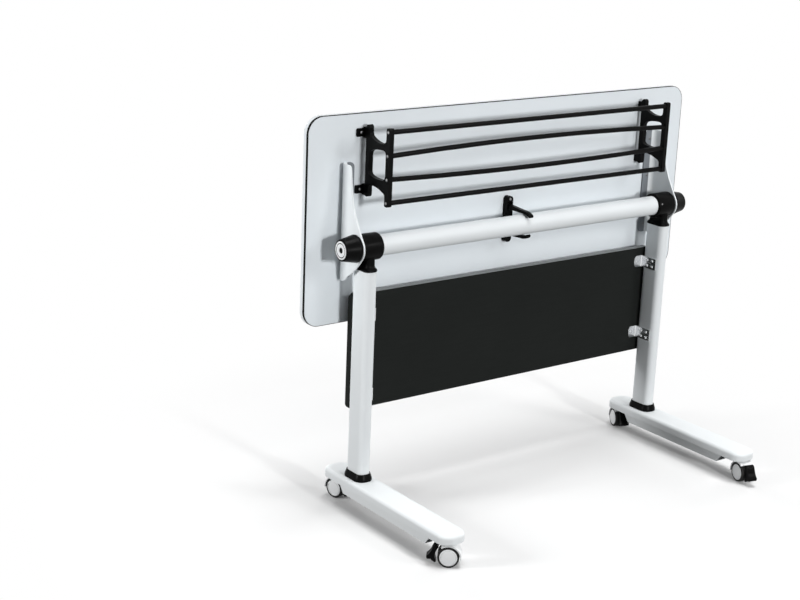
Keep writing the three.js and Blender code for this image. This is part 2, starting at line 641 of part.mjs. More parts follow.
// Castor with twin wheels, made with its stem on Z and its pedal towards +X
function buildCastor(name, x, y, heading) {
  const castor = new THREE.Group();
  castor.position.set(x, y, 0);
  castor.rotation.z = radians(heading);
  table.add(castor);
  const axle = [castorTrail, wheelRadius];
  const onAxle = (geometry) => geometry.translate(axle[0], 0, axle[1]);
  const rim = (radius, degrees) =>
    [radius * Math.cos(radians(degrees)), radius * Math.sin(radians(degrees))];
  // Ring sector round the axle between two angles, pushed out along Y to both sides
  const sector = (inner, outer, from, to, half) => {
    const shape = new THREE.Shape();
    shape.moveTo(...rim(inner, from));
    shape.lineTo(...rim(outer, from));
    shape.absarc(0, 0, outer, radians(from), radians(to), false);
    shape.lineTo(...rim(inner, to));
    shape.absarc(0, 0, inner, radians(to), radians(from), true);
    return onAxle(acrossY(shape, -half, half, 5));
  };

  const fender = sector(hoodInside, hoodOutside, hoodFront, hoodRear, wheelEnd);
  const web = sector(axleRadius, hoodInside + 1, hoodFront, hoodRear, webThickness / 2);
  const lug = onAxle(lathed(rodProfile(2 * axleRadius, -webThickness / 2, webThickness / 2), narrowFacets));
  const wheelSpace = onAxle(lathed(rodProfile(hoodInside, -2 * wheelEnd, 2 * wheelEnd), wheelFacets));
  const swivel = turnedZ(rodProfile(swivelRadius, wheelRadius, castorHeight), narrowFacets);
  const stem = turnedZ(rodProfile(stemRadius, castorHeight - 1, castorHeight + stemLength), narrowFacets);
  const axleBore = onAxle(lathed(rodProfile(axleRadius + running, -wheelEnd, wheelEnd), narrowFacets));
  const hood = cut(joined(cut(swivel, wheelSpace), fender, web, lug, stem), axleBore);
  place(castor, name + "_hood", hood, whitePaint);

  const rimRadius = hubPlateRadius - seat;
  const cap = wheelEnd + 1.2;
  place(castor, name + "_wheel_hub", onAxle(lathed([
    [0, -cap], [0.75 * rimRadius, -cap], [rimRadius, -wheelEnd + 0.6], [rimRadius, -wheelStart],
    [axleRadius, -wheelStart], [axleRadius, wheelStart], [rimRadius, wheelStart],
    [rimRadius, wheelEnd - 0.6], [0.75 * rimRadius, cap], [0, cap]], wheelFacets)), paleCap);
  const tyre = [
    [hubPlateRadius, wheelStart], [wheelRadius - 1.5, wheelStart], [wheelRadius, wheelStart + 2],
    [wheelRadius, wheelEnd - 3], [wheelRadius - 2, wheelEnd], [hubPlateRadius, wheelEnd],
    [hubPlateRadius, wheelStart]];
  place(castor, name + "_tyre_a", onAxle(lathed(tyre, wheelFacets)), blackRubber);
  place(castor, name + "_tyre_b", onAxle(lathed(tyre, wheelFacets).rotateX(Math.PI)), blackRubber);

  const [hingeX, hingeZ] = rim((pedalInside + pedalOutside) / 2, pedalTop);
  const knuckle = lathed(rodProfile(pedalHinge, -pedalHalf, pedalHalf), narrowFacets);
  const barrel = onAxle(knuckle.translate(hingeX, 0, hingeZ));
  const toe = pedalOutside + pedalLip;
  const boot = new THREE.Shape();
  boot.moveTo(...rim(pedalInside, pedalTop));
  boot.absarc(0, 0, pedalInside, radians(pedalTop), radians(pedalHeel), true);
  boot.lineTo(...rim(pedalInside + 0.45 * pedalWall, pedalHeel));
  boot.lineTo(...rim(pedalInside + 0.6 * pedalWall, 0.8 * pedalHeel));
  boot.lineTo(...rim(pedalOutside, 0.43 * pedalHeel));
  boot.lineTo(...rim(toe - 0.2 * pedalLip, 0.39 * pedalHeel));
  boot.lineTo(...rim(toe, 0.26 * pedalHeel));
  boot.lineTo(...rim(toe, 0.07 * pedalHeel));
  boot.quadraticCurveTo(...rim(pedalOutside + 0.2 * pedalLip, 6), ...rim(pedalOutside, 0.44 * pedalTop));
  boot.absarc(0, 0, pedalOutside, radians(0.44 * pedalTop), radians(pedalTop), false);
  const flap = onAxle(acrossY(boot, -pedalHalf, pedalHalf));
  place(castor, name + "_pedal", joined(flap, barrel), blackPlastic);
}

buildTop();
buildBeam();
buildHubs();
buildColumns();
buildFeet();
buildPlates();
buildKnobs();
buildBasket();
buildLatch();
buildPanel();
buildCastor("castor_front_left", -columnX, footFront + castorInset, leftFrontHeading);
buildCastor("castor_front_right", columnX, footFront + castorInset, rightFrontHeading);
buildCastor("castor_rear_left", -columnX, footRear - castorInset, leftRearHeading);
buildCastor("castor_rear_right", columnX, footRear - castorInset, rightRearHeading);

// The origin lies on the floor under the middle of the whole table
const extent = new THREE.Box3().setFromObject(table, true);
table.position.y = -(extent.min.y + extent.max.y) / 2;

const root = new THREE.Group();
root.add(table);

export default root;
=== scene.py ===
"""Looks of the flip top training table: detailed pieces, finishes, light and camera.

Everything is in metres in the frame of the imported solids, with +Z up and the sitter's side at -Y.
Each piece stands where its solid stands and rides on the same body.
"""

import json
import logging
import math
from collections.abc import Sequence
from dataclasses import dataclass
from enum import Enum

import bmesh
import bpy
from mathutils import Matrix, Vector
from mathutils.geometry import tessellate_polygon

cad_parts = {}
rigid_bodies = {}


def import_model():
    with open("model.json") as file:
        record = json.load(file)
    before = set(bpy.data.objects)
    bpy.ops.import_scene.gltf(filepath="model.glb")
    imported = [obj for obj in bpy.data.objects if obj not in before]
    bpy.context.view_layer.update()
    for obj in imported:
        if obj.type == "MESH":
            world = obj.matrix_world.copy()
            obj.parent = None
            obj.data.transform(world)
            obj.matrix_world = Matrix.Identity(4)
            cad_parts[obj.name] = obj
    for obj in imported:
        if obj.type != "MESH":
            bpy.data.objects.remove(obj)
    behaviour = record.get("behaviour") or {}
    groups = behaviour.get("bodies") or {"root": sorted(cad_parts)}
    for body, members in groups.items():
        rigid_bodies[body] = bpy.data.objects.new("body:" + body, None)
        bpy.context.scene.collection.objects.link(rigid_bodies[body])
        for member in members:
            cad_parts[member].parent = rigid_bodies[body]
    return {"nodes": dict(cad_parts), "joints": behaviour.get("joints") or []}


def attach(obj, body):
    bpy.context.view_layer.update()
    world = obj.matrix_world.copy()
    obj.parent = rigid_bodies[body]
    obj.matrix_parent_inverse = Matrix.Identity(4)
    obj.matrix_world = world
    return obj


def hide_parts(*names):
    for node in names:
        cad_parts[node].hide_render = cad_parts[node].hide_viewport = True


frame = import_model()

LOG = logging.getLogger("flip_top_table")
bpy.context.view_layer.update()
JOINTS = {joint["name"]: joint for joint in frame["joints"]}
BEAM = Vector(JOINTS["top_flip"]["pos_m"])
FROM_BEAM = Matrix.Translation(BEAM)
FROM_FLOOR = Matrix.Translation((0.0, BEAM.y, 0.0))

AHEAD = (0.0, -1.0, 0.0)
OUTWARD = (1.0, 0.0, 0.0)
INWARD = (-1.0, 0.0, 0.0)
WHITE = (1.0, 1.0, 1.0, 1.0)
RAYS_THAT_SHOW = ("Camera", "Glossy", "Transmission")
# Edges whose faces meet at more than CREASE are rounded or left sharp; faces within LEVEL become one.
CREASE = math.radians(35)
LEVEL = math.radians(0.4)
# Points closer than WELD become one; edges shorter than SLIVER go.
WELD = 2e-6
SLIVER = 1e-6
# Sizes that several pieces share: the gap between pieces that touch, the board's underside behind the
# beam axis, the radius of the beam, and how far out the columns stand and half their width.
FIT = 0.00025
UNDERSIDE = 0.07
BEAM_RADIUS = 0.025
COLUMN = 0.478
COLUMN_HALF = 0.017

Pair = tuple[float, float]
Outline = list[Pair]
Colour = tuple[float, float, float]


class Side(Enum):
    """The two ends of the table, as the sign of X."""

    LEFT = -1
    RIGHT = 1

    @property
    def word(self) -> str:
        """Give the side's name as the nodes write it."""
        return self.name.lower()

    @property
    def mirror(self) -> Matrix:
        """Give the matrix that takes a piece made for +X to this side."""
        return Matrix.Diagonal((float(self.value), 1.0, 1.0, 1.0))

    @property
    def from_beam(self) -> Matrix:
        """Give the matrix that takes a piece made for +X round the beam axis to this side."""
        return FROM_BEAM @ self.mirror

    @property
    def from_floor(self) -> Matrix:
        """Give the matrix that takes a piece made for +X on the floor to this side."""
        return FROM_FLOOR @ self.mirror


class Facing(Enum):
    """The axis that a plate's thickness runs along; its outline lies across the other two."""

    X = ((0, 1, 0), (0, 0, 1), (1, 0, 0))
    Y = ((1, 0, 0), (0, 0, 1), (0, 1, 0))
    Z = ((1, 0, 0), (0, 1, 0), (0, 0, 1))

    @property
    def matrix(self) -> Matrix:
        """Give the turn from (across, up, through) to the row frame."""
        return Matrix(self.value).transposed().to_4x4()


class Slot(Enum):
    """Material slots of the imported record."""

    LAMINATE = "top_laminate"
    BAND_LIGHT = "band_light"
    BAND_DARK = "band_dark"
    WHITE_PAINT = "white_paint"
    WHITE_PLASTIC = "white_plastic"
    BLACK_PLASTIC = "black_plastic"
    BLACK_PAINT = "black_paint"
    PANEL = "panel_board"
    STEEL = "bright_steel"
    CAP = "pale_cap"
    TYRE = "tyre_rubber"


class Corner(Enum):
    """The corners of the table that castors stand at."""

    FRONT_LEFT = "front_left"
    FRONT_RIGHT = "front_right"
    REAR_LEFT = "rear_left"
    REAR_RIGHT = "rear_right"


class Joining(Enum):
    """The ways in which one solid shapes another."""

    JOIN = "UNION"
    CUT = "DIFFERENCE"
    TRIM = "INTERSECT"


def arc(middle: Pair, radius: float, start: float, stop: float, steps: int = 12) -> Outline:
    """Lay points along a circular arc.

    Args:
        middle: Centre of the arc.
        radius: Its radius.
        start: First angle in degrees.
        stop: Last angle in degrees.
        steps: Number of steps along it.

    Returns:
        The points, both ends included.
    """
    angles = [math.radians(start + (stop - start) * i / steps) for i in range(steps + 1)]
    return [(middle[0] + radius * math.cos(a), middle[1] + radius * math.sin(a)) for a in angles]


def bend(start: Pair, pull: Pair, stop: Pair, steps: int = 12) -> Outline:
    """Lay points along a curve from start to stop that is drawn towards pull.

    Args:
        start: First point.
        pull: Point that the curve leans to.
        stop: Last point.
        steps: Number of steps along it.

    Returns:
        The points, both ends included.
    """
    points = []
    for i in range(steps + 1):
        t = i / steps
        weights = ((1 - t) ** 2, 2 * t * (1 - t), t * t)
        points.append(tuple(sum(w * p[k] for w, p in zip(weights, (start, pull, stop))) for k in (0, 1)))
    return points


def rounded(left: float, right: float, low: float, high: float, radius: float, steps: int = 12) -> Outline:
    """Outline a rectangle with round corners, anticlockwise.

    Args:
        left: Lowest first coordinate.
        right: Highest first coordinate.
        low: Lowest second coordinate.
        high: Highest second coordinate.
        radius: Corner radius.
        steps: Steps round each corner.

    Returns:
        The outline.
    """
    return [
        *arc((right - radius, low + radius), radius, -90, 0, steps),
        *arc((right - radius, high - radius), radius, 0, 90, steps),
        *arc((left + radius, high - radius), radius, 90, 180, steps),
        *arc((left + radius, low + radius), radius, 180, 270, steps),
    ]


class Stock:
    """A mesh under construction."""

    def __init__(self) -> None:
        """Start with no points."""
        self.points: list[Vector] = []
        self.faces: list[list[int]] = []

    def take(self, ring: Sequence[Vector]) -> list[int]:
        """Add points.

        Args:
            ring: The points.

        Returns:
            Their numbers.
        """
        start = len(self.points)
        self.points.extend(Vector(point) for point in ring)
        return list(range(start, len(self.points)))

    def loft(self, rings: Sequence[Sequence[Vector]], capped: bool = True, looped: bool = False) -> "Stock":
        """Skin a stack of rings that have the same number of points.

        Args:
            rings: The rings in order.
            capped: Whether the first and last ring are closed by a face.
            looped: Whether the last ring is joined to the first.

        Returns:
            This stock.
        """
        rows = [self.take(ring) for ring in rings]
        pairs = list(zip(rows, rows[1:] + rows[:1] if looped else rows[1:]))
        for low, high in pairs:
            for i, here in enumerate(low):
                after = (i + 1) % len(low)
                self.faces.append([here, low[after], high[after], high[i]])
        if capped and not looped:
            self.faces.append(rows[0][::-1])
            self.faces.append(rows[-1])
        return self

    def turned(self, profile: Outline, steps: int = 64, looped: bool = False) -> "Stock":
        """Turn a (radius, height) profile round Z.

        Args:
            profile: Profile from the bottom of the axis to its top, or a closed loop off the axis.
            steps: Facets round the axis.
            looped: Whether the profile is such a loop.

        Returns:
            This stock.
        """
        angles = [2 * math.pi * i / steps for i in range(steps)]
        rings = [[Vector((r * math.cos(a), r * math.sin(a), h)) for a in angles] for r, h in profile]
        return self.loft(rings, capped=False, looped=looped)

    def rod(self, radius: float, low: float, high: float, steps: int) -> "Stock":
        """Add a round rod along Z from low to high."""
        return self.turned([(0.0, low), (radius, low), (radius, high), (0.0, high)], steps)

    def tube(self, inner: float, outer: float, low: float, high: float, steps: int) -> "Stock":
        """Add a round tube along Z from low to high."""
        return self.turned([(inner, low), (outer, low), (outer, high), (inner, high)], steps, looped=True)

    def plate(self, outlines: Sequence[Outline], low: float, high: float, facing: Facing) -> "Stock":
        """Add a flat plate.

        Args:
            outlines: Its outline, then the outline of each hole in it.
            low: Where its thickness starts.
            high: Where its thickness ends.
            facing: The axis that its thickness runs along.

        Returns:
            This stock.
        """
        triangles = tessellate_polygon([[Vector((*p, 0.0)) for p in outline] for outline in outlines])
        flat = [point for outline in outlines for point in outline]
        bottom = self.take([facing.matrix @ Vector((*p, low)) for p in flat])
        top = self.take([facing.matrix @ Vector((*p, high)) for p in flat])
        self.faces.extend([row[i] for i in triangle] for triangle in triangles for row in (bottom, top))
        start = 0
        for outline in outlines:
            count = len(outline)
            for i in range(count):
                here, after = start + i, start + (i + 1) % count
                self.faces.append([bottom[here], bottom[after], top[after], top[here]])
            start += count
        return self

    def block(self, low: Sequence[float], high: Sequence[float]) -> "Stock":
        """Add a rectangular lug between two corners."""
        sides = [(low[0], low[1]), (high[0], low[1]), (high[0], high[1]), (low[0], high[1])]
        return self.plate([sides], low[2], high[2], Facing.Z)

    def moved(self, matrix: Matrix) -> "Stock":
        """Move every point by a matrix and give this stock back."""
        self.points = [matrix @ point for point in self.points]
        return self

    def with_stock(self, *others: "Stock") -> "Stock":
        """Put other stock into this one.

        Args:
            others: What to add.

        Returns:
            This stock.
        """
        for other in others:
            start = len(self.points)
            self.points.extend(other.points)
            self.faces.extend([start + i for i in face] for face in other.faces)
        return self

    def mesh(self, name: str) -> bpy.types.Mesh:
        """Weld the stock into a mesh whose faces look outwards.

        Args:
            name: Name of the mesh.

        Returns:
            The mesh.
        """
        data = bpy.data.meshes.new(name)
        data.from_pydata(self.points, [], self.faces)
        form = bmesh.new()
        form.from_mesh(data)
        bmesh.ops.remove_doubles(form, verts=form.verts, dist=WELD)
        bmesh.ops.dissolve_degenerate(form, edges=form.edges, dist=SLIVER)
        bmesh.ops.dissolve_limit(form, angle_limit=LEVEL, verts=form.verts, edges=form.edges)
        bmesh.ops.recalc_face_normals(form, faces=form.faces)
        form.to_mesh(data)
        form.free()
        data.shade_smooth()
        return data

    def shaped(self, other: "Stock", way: Joining) -> "Stock":
        """Join this solid to another, cut it by the other or trim it to the other.

        Args:
            other: The second solid.
            way: Which of these is done.

        Returns:
            The result as new stock.
        """
        scene = bpy.context.scene.collection.objects
        work = [bpy.data.objects.new("work", stock.mesh("work")) for stock in (self, other)]
        for item in work:
            scene.link(item)
        trim = work[0].modifiers.new("trim", "BOOLEAN")
        trim.operation = way.value
        trim.solver = "EXACT"
        trim.object = work[1]
        graph = bpy.context.evaluated_depsgraph_get()
        made = bpy.data.meshes.new_from_object(work[0].evaluated_get(graph))
        result = Stock()
        result.points = [vertex.co.copy() for vertex in made.vertices]
        result.faces = [list(face.vertices) for face in made.polygons]
        for item in work:
            bpy.data.meshes.remove(item.data)
        bpy.data.meshes.remove(made)
        return result

    def joined(self, other: "Stock") -> "Stock":
        """Join another solid to this one."""
        return self.shaped(other, Joining.JOIN)

    def cut(self, other: "Stock") -> "Stock":
        """Cut another solid out of this one."""
        return self.shaped(other, Joining.CUT)

    def trimmed(self, other: "Stock") -> "Stock":
        """Keep what this solid shares with another."""
        return self.shaped(other, Joining.TRIM)


class Wire:
    """A value on a node socket that can be used in Python arithmetic."""

    def __init__(self, graph: "Graph", socket: bpy.types.NodeSocket) -> None:
        """Hold an output socket of a graph."""
        self.graph = graph
        self.socket = socket

    def _math(self, operation: str, first: "Wire | float", second: "Wire | float") -> "Wire":
        """Add a Math node."""
        made = self.graph.node("ShaderNodeMath", {"operation": operation}, {0: first, 1: second})
        return Wire(self.graph, made.outputs[0])

    def __add__(self, other: "Wire | float") -> "Wire":
        """Add."""
        return self._math("ADD", self, other)

    def __radd__(self, other: float) -> "Wire":
        """Add to a number."""
        return self._math("ADD", other, self)

    def __sub__(self, other: "Wire | float") -> "Wire":
        """Subtract."""
        return self._math("SUBTRACT", self, other)

    def __rsub__(self, other: float) -> "Wire":
        """Subtract from a number."""
        return self._math("SUBTRACT", other, self)

    def __mul__(self, other: "Wire | float") -> "Wire":
        """Multiply."""
        return self._math("MULTIPLY", self, other)

    def __rmul__(self, other: float) -> "Wire":
        """Multiply a number."""
        return self._math("MULTIPLY", other, self)

    def __abs__(self) -> "Wire":
        """Drop the sign."""
        return self._math("ABSOLUTE", self, 0.0)

    def softly(self, low: float, high: float) -> "Wire":
        """Rise smoothly from zero to one.

        Args:
            low: Value that gives zero.
            high: Value that gives one.

        Returns:
            The softened value.
        """
        sockets = {"Value": self, "From Min": low, "From Max": high}
        made = self.graph.node("ShaderNodeMapRange", {"interpolation_type": "SMOOTHSTEP"}, sockets)
        return Wire(self.graph, made.outputs["Result"])


class Graph:
    """The node graph of a material or of the surround, with its output and its first shader."""

    def __init__(self, owner: "bpy.types.Material | bpy.types.World") -> None:
        """Open the nodes of a material or a surround.

        Args:
            owner: What the nodes belong to.
        """
        owner.use_nodes = True
        self.tree = owner.node_tree
        self.output = next(node for node in self.tree.nodes if "Surface" in node.inputs)
        self.shader = self.output.inputs["Surface"].links[0].from_node

    def node(self, kind: str, settings: dict | None = None, sockets: dict | None = None) -> bpy.types.Node:
        """Add a node.

        Args:
            kind: Its type.
            settings: Its own settings, which are set first.
            sockets: Values or wires for its sockets, by name or number.

        Returns:
            The node.
        """
        made = self.tree.nodes.new(kind)
        for key, value in (settings or {}).items():
            setattr(made, key, value)
        self.feed(made, sockets or {})
        return made

    def feed(self, node: bpy.types.Node, sockets: dict) -> None:
        """Set or link a node's sockets.

        Args:
            node: The node.
            sockets: Values or wires by socket name or number.
        """
        for key, value in sockets.items():
            if isinstance(value, Wire):
                self.tree.links.new(value.socket, node.inputs[key])
            else:
                node.inputs[key].default_value = value

    def place(self, stretch: Sequence[float] = (1.0, 1.0, 1.0)) -> Wire:
        """Give the place on the piece.

        Args:
            stretch: Factor along each axis; below one draws a pattern out.

        Returns:
            The scaled place.
        """
        spot = self.node("ShaderNodeTexCoord")
        sockets = {"Vector": Wire(self, spot.outputs["Object"]), "Scale": stretch}
        return Wire(self, self.node("ShaderNodeMapping", None, sockets).outputs["Vector"])

    def along(self, axis: str) -> Wire:
        """Give the place along X, Y or Z in metres."""
        made = self.node("ShaderNodeSeparateXYZ", None, {"Vector": self.place()})
        return Wire(self, made.outputs[axis])

    def noise(self, scale: float, detail: float = 3.0, stretch: Sequence[float] = (1.0, 1.0, 1.0)) -> Wire:
        """Make a cloudy pattern."""
        sockets = {"Vector": self.place(stretch), "Scale": scale, "Detail": detail, "Roughness": 0.55}
        return Wire(self, self.node("ShaderNodeTexNoise", None, sockets).outputs["Fac"])

    def cells(self, scale: float, stretch: Sequence[float] = (1.0, 1.0, 1.0)) -> Wire:
        """Make a pattern of pits."""
        sockets = {"Vector": self.place(stretch), "Scale": scale}
        return Wire(self, self.node("ShaderNodeTexVoronoi", None, sockets).outputs["Distance"])

    def blend(self, share: Wire, first: "Colour | Wire", second: "Colour | Wire") -> Wire:
        """Mix two colours.

        Args:
            share: How much of the second colour shows.
            first: The first colour.
            second: The second colour.

        Returns:
            The mixed colour.
        """
        colours = [value if isinstance(value, Wire) else (*value, 1.0) for value in (first, second)]
        sockets = {0: share, 6: colours[0], 7: colours[1]}
        made = self.node("ShaderNodeMix", {"data_type": "RGBA", "clamp_factor": True}, sockets)
        return Wire(self, made.outputs[2])

    def relief(self, height: Wire, depth: float, strength: float = 1.0) -> None:
        """Feed a height pattern to the shader's normal."""
        made = self.node("ShaderNodeBump", None, {"Height": height, "Distance": depth, "Strength": strength})
        self.feed(self.shader, {"Normal": Wire(self, made.outputs["Normal"])})

    def surface(self, **sockets: object) -> None:
        """Set the shader's sockets, with underscores for spaces and capitals put back."""
        words = {key.replace("_", " ").title().replace("Ior", "IOR"): value for key, value in sockets.items()}
        self.feed(self.shader, words)

    def backing(self) -> Wire:
        """Tell which rays show the backing: straight ones and those by way of a shiny or clear surface.

        Returns:
            One for these rays and zero for the rest.
        """
        path = self.node("ShaderNodeLightPath")
        camera, glossy, clear = (Wire(self, path.outputs[f"Is {kind} Ray"]) for kind in RAYS_THAT_SHOW)
        return (camera + glossy + clear).softly(0.0, 1.0)

    def cross(self, share: Wire, second: bpy.types.Node) -> None:
        """Let the first shader give way to a second one.

        Args:
            share: How much of the second shader shows.
            second: The second shader.
        """
        sockets = {0: share, 1: Wire(self, self.shader.outputs[0]), 2: Wire(self, second.outputs[0])}
        mixed = self.node("ShaderNodeMixShader", None, sockets)
        self.feed(self.output, {"Surface": Wire(self, mixed.outputs[0])})


def tone(red: int, green: int, blue: int) -> Colour:
    """Turn a screen colour into the linear one that shaders take.

    Args:
        red: Red from 0 to 255.
        green: Green from 0 to 255.
        blue: Blue from 0 to 255.

    Returns:
        The linear colour.
    """
    parts = [value / 255 for value in (red, green, blue)]
    return tuple(p / 12.92 if p <= 0.04045 else ((p + 0.055) / 1.055) ** 2.4 for p in parts)


def shade(colour: Colour, factor: float) -> Colour:
    """Make a colour darker or lighter by a factor."""
    return tuple(min(part * factor, 1.0) for part in colour)


@dataclass(frozen=True)
class Finish:
    """A finish that pieces are dressed in."""

    name: str
    slot: Slot
    colour: Colour
    roughness: float

    def material(self) -> bpy.types.Material:
        """Give the finish's material, made on first use.

        Returns:
            The material.
        """
        made = bpy.data.materials.get(self.name)
        if made is None:
            made = bpy.data.materials.new(self.name)
            self.paint(Graph(made))
        return made

    def paint(self, graph: Graph) -> None:
        """Build the node graph of the finish."""
        raise NotImplementedError


@dataclass(frozen=True)
class Laminate(Finish):
    """Pressed laminate with a faint mottle and a fine pearl grain."""

    grain: float = 1.0

    def paint(self, graph: Graph) -> None:
        """Build the node graph of the finish.

        Args:
            graph: The graph of its material.
        """
        mottle = graph.noise(scale=9.0, detail=4.0)
        speck = graph.noise(scale=900.0, detail=2.0)
        mixed = graph.blend(mottle, shade(self.colour, 0.97), shade(self.colour, 1.02))
        graph.surface(
            base_color=graph.blend(speck.softly(0.55, 0.8) * 0.25, mixed, shade(self.colour, 0.9)),
            roughness=self.roughness + (mottle - 0.5) * 0.12 + (speck - 0.5) * 0.06,
        )
        graph.relief(graph.cells(scale=1400.0) + speck, depth=4e-5 * self.grain, strength=0.5)


@dataclass(frozen=True)
class PowderCoat(Finish):
    """Sprayed and baked paint with a fine orange peel and a little dust low down."""

    coat: float = 0.25
    dusty: bool = True
    shine: float = 0.5

    def skin(self, graph: Graph, cloud: Wire) -> Wire:
        """Give the colour of the paint.

        Args:
            graph: The node graph of the finish.
            cloud: Pattern that the colour drifts with.

        Returns:
            The colour.
        """
        base = graph.blend(cloud, shade(self.colour, 0.965), shade(self.colour, 1.015))
        if self.dusty:
            low = 1.0 - graph.along("Z").softly(0.03, 0.16)
            base = graph.blend(low * cloud * 0.22, base, tone(196, 192, 184))
        return base

    def paint(self, graph: Graph) -> None:
        """Build the node graph of the finish.

        Args:
            graph: The graph of its material.
        """
        peel = graph.noise(scale=420.0, detail=2.0)
        cloud = graph.noise(scale=14.0, detail=4.0)
        scuff = graph.noise(scale=60.0, detail=5.0, stretch=(1.0, 6.0, 1.0)).softly(0.66, 0.78)
        graph.surface(
            base_color=self.skin(graph, cloud),
            roughness=self.roughness + (cloud - 0.5) * 0.14 + scuff * 0.12,
            coat_weight=self.coat,
            coat_roughness=0.12,
            specular_ior_level=self.shine,
        )
        graph.relief(peel, depth=6e-5, strength=0.55)


@dataclass(frozen=True)
class FlangeCoat(PowderCoat):
    """Powder coat that turns a darker grey on the flat of a plate's flange."""

    flange_grey: Colour = (0.2, 0.2, 0.2)
    flange_to: Pair = (0.4915, 0.4935)

    def skin(self, graph: Graph, cloud: Wire) -> Wire:
        """Give the colour of the paint, grey on the flange."""
        # The flat of the flange is coloured a darker grey than the rest of the fin.
        grey = graph.blend(cloud, shade(self.flange_grey, 0.9), shade(self.flange_grey, 1.08))
        return graph.blend(abs(graph.along("X")).softly(*self.flange_to), grey, super().skin(graph, cloud))


@dataclass(frozen=True)
class MouldedPlastic(Finish):
    """Moulded plastic with a spark-eroded grain and rubbed places."""

    grain: float = 1.0
    shine: float = 0.5

    def paint(self, graph: Graph) -> None:
        """Build the node graph of the finish.

        Args:
            graph: The graph of its material.
        """
        grain = graph.cells(scale=1100.0)
        rubbed = graph.noise(scale=38.0, detail=5.0).softly(0.55, 0.8)
        cloud = graph.noise(scale=20.0, detail=3.0)
        graph.surface(
            base_color=graph.blend(rubbed * 0.5 + cloud * 0.2, self.colour, shade(self.colour, 1.8)),
            roughness=self.roughness + (cloud - 0.5) * 0.16 - rubbed * 0.1,
            specular_ior_level=self.shine,
        )
        graph.relief(grain, depth=5e-5 * self.grain, strength=0.6)


@dataclass(frozen=True)
class Board(Finish):
    """Dark laminated board with a fine drawn-out grain and a painted highlight on its upper edge."""

    # The paler edge colour, from the given height up, is a painted highlight on the panel's top face.
    edge: Colour = (0.2, 0.2, 0.2)
    highlight_from: Pair = (0.5309, 0.5315)

    def paint(self, graph: Graph) -> None:
        """Build the node graph of the finish.

        Args:
            graph: The graph of its material.
        """
        grain = graph.noise(scale=240.0, detail=5.0, stretch=(0.06, 1.0, 1.0))
        cloud = graph.noise(scale=6.0, detail=3.0)
        face = graph.blend(grain * 0.6 + cloud * 0.4, shade(self.colour, 0.8), shade(self.colour, 1.25))
        # Painted highlight: the panel's top face is coloured paler, where light catches it.
        painted_highlight = graph.blend(grain, shade(self.edge, 0.85), shade(self.edge, 1.1))
        graph.surface(
            base_color=graph.blend(graph.along("Z").softly(*self.highlight_from), face, painted_highlight),
            roughness=self.roughness + (grain - 0.5) * 0.2,
            specular_ior_level=0.02,
        )
        graph.relief(grain, depth=8e-5, strength=0.5)


@dataclass(frozen=True)
class PlatedSteel(Finish):
    """Bright plated steel with brush marks and dull patches."""

    def paint(self, graph: Graph) -> None:
        """Build the node graph of the finish.

        Args:
            graph: The graph of its material.
        """
        brush = graph.noise(scale=900.0, detail=3.0, stretch=(1.0, 0.05, 1.0))
        patch = graph.noise(scale=70.0, detail=3.0)
        graph.surface(
            base_color=graph.blend(patch, shade(self.colour, 0.82), self.colour),
            metallic=1.0,
            roughness=self.roughness + (brush - 0.5) * 0.25 + (patch - 0.5) * 0.15,
        )
        graph.relief(brush, depth=2e-5, strength=0.4)


@dataclass(frozen=True)
class Tread(Finish):
    """Tyre tread, dull, with a trace of floor dust."""

    def paint(self, graph: Graph) -> None:
        """Build the node graph of the finish.

        Args:
            graph: The graph of its material.
        """
        dust = graph.noise(scale=55.0, detail=5.0).softly(0.5, 0.85)
        fine = graph.noise(scale=1300.0, detail=2.0)
        graph.surface(
            base_color=graph.blend(dust * 0.3, self.colour, tone(96, 93, 88)),
            roughness=self.roughness + (fine - 0.5) * 0.2,
            specular_ior_level=0.25,
        )
        graph.relief(fine, depth=8e-5, strength=0.6)


CLEAN_WHITE = tone(229, 233, 235)
LAMINATE = Laminate("pearl_laminate", Slot.LAMINATE, tone(226, 232, 236), roughness=0.42)
BAND_LIGHT = Laminate("light_edge_band", Slot.BAND_LIGHT, tone(224, 229, 232), roughness=0.38, grain=0.5)
BAND_DARK = MouldedPlastic(
    "dark_edge_band", Slot.BAND_DARK, tone(7, 7, 7), roughness=0.46, grain=0.4, shine=0.05)
WHITE_PAINT = PowderCoat(
    "white_powder_coat", Slot.WHITE_PAINT, CLEAN_WHITE, roughness=0.5, coat=0.0, shine=0.25)
# The fin's paint turns a darker grey on the flat of the flange.
FIN_PAINT = FlangeCoat(
    "white_coat_grey_flange", Slot.WHITE_PAINT, CLEAN_WHITE,
    roughness=0.5, coat=0.0, shine=0.25, flange_grey=tone(122, 127, 132))
WHITE_PLASTIC = MouldedPlastic(
    "white_castor_plastic", Slot.WHITE_PLASTIC, tone(226, 228, 229), roughness=0.4, grain=0.4)
BLACK_PLASTIC = MouldedPlastic(
    "black_moulding", Slot.BLACK_PLASTIC, tone(8, 8, 8), roughness=0.32, grain=0.8, shine=0.04)
BLACK_PAINT = PowderCoat(
    "black_powder_coat", Slot.BLACK_PAINT, tone(5, 5, 5), roughness=0.36, coat=0.0, dusty=False, shine=0.06)
# The panel's paler edge colour is a painted highlight on its top face.
PANEL_BOARD = Board(
    "charcoal_board", Slot.PANEL, tone(34, 36, 35), roughness=0.62, edge=tone(128, 131, 132))
STEEL = PlatedSteel("plated_steel", Slot.STEEL, tone(226, 228, 230), roughness=0.22)
DULL_STEEL = PlatedSteel("dull_fastener_steel", Slot.STEEL, tone(132, 132, 133), roughness=0.34)
CAP = MouldedPlastic("pale_cap", Slot.CAP, tone(212, 217, 223), roughness=0.36, grain=0.3)
TYRE = Tread("tyre_tread", Slot.TYRE, tone(20, 20, 20), roughness=0.7)


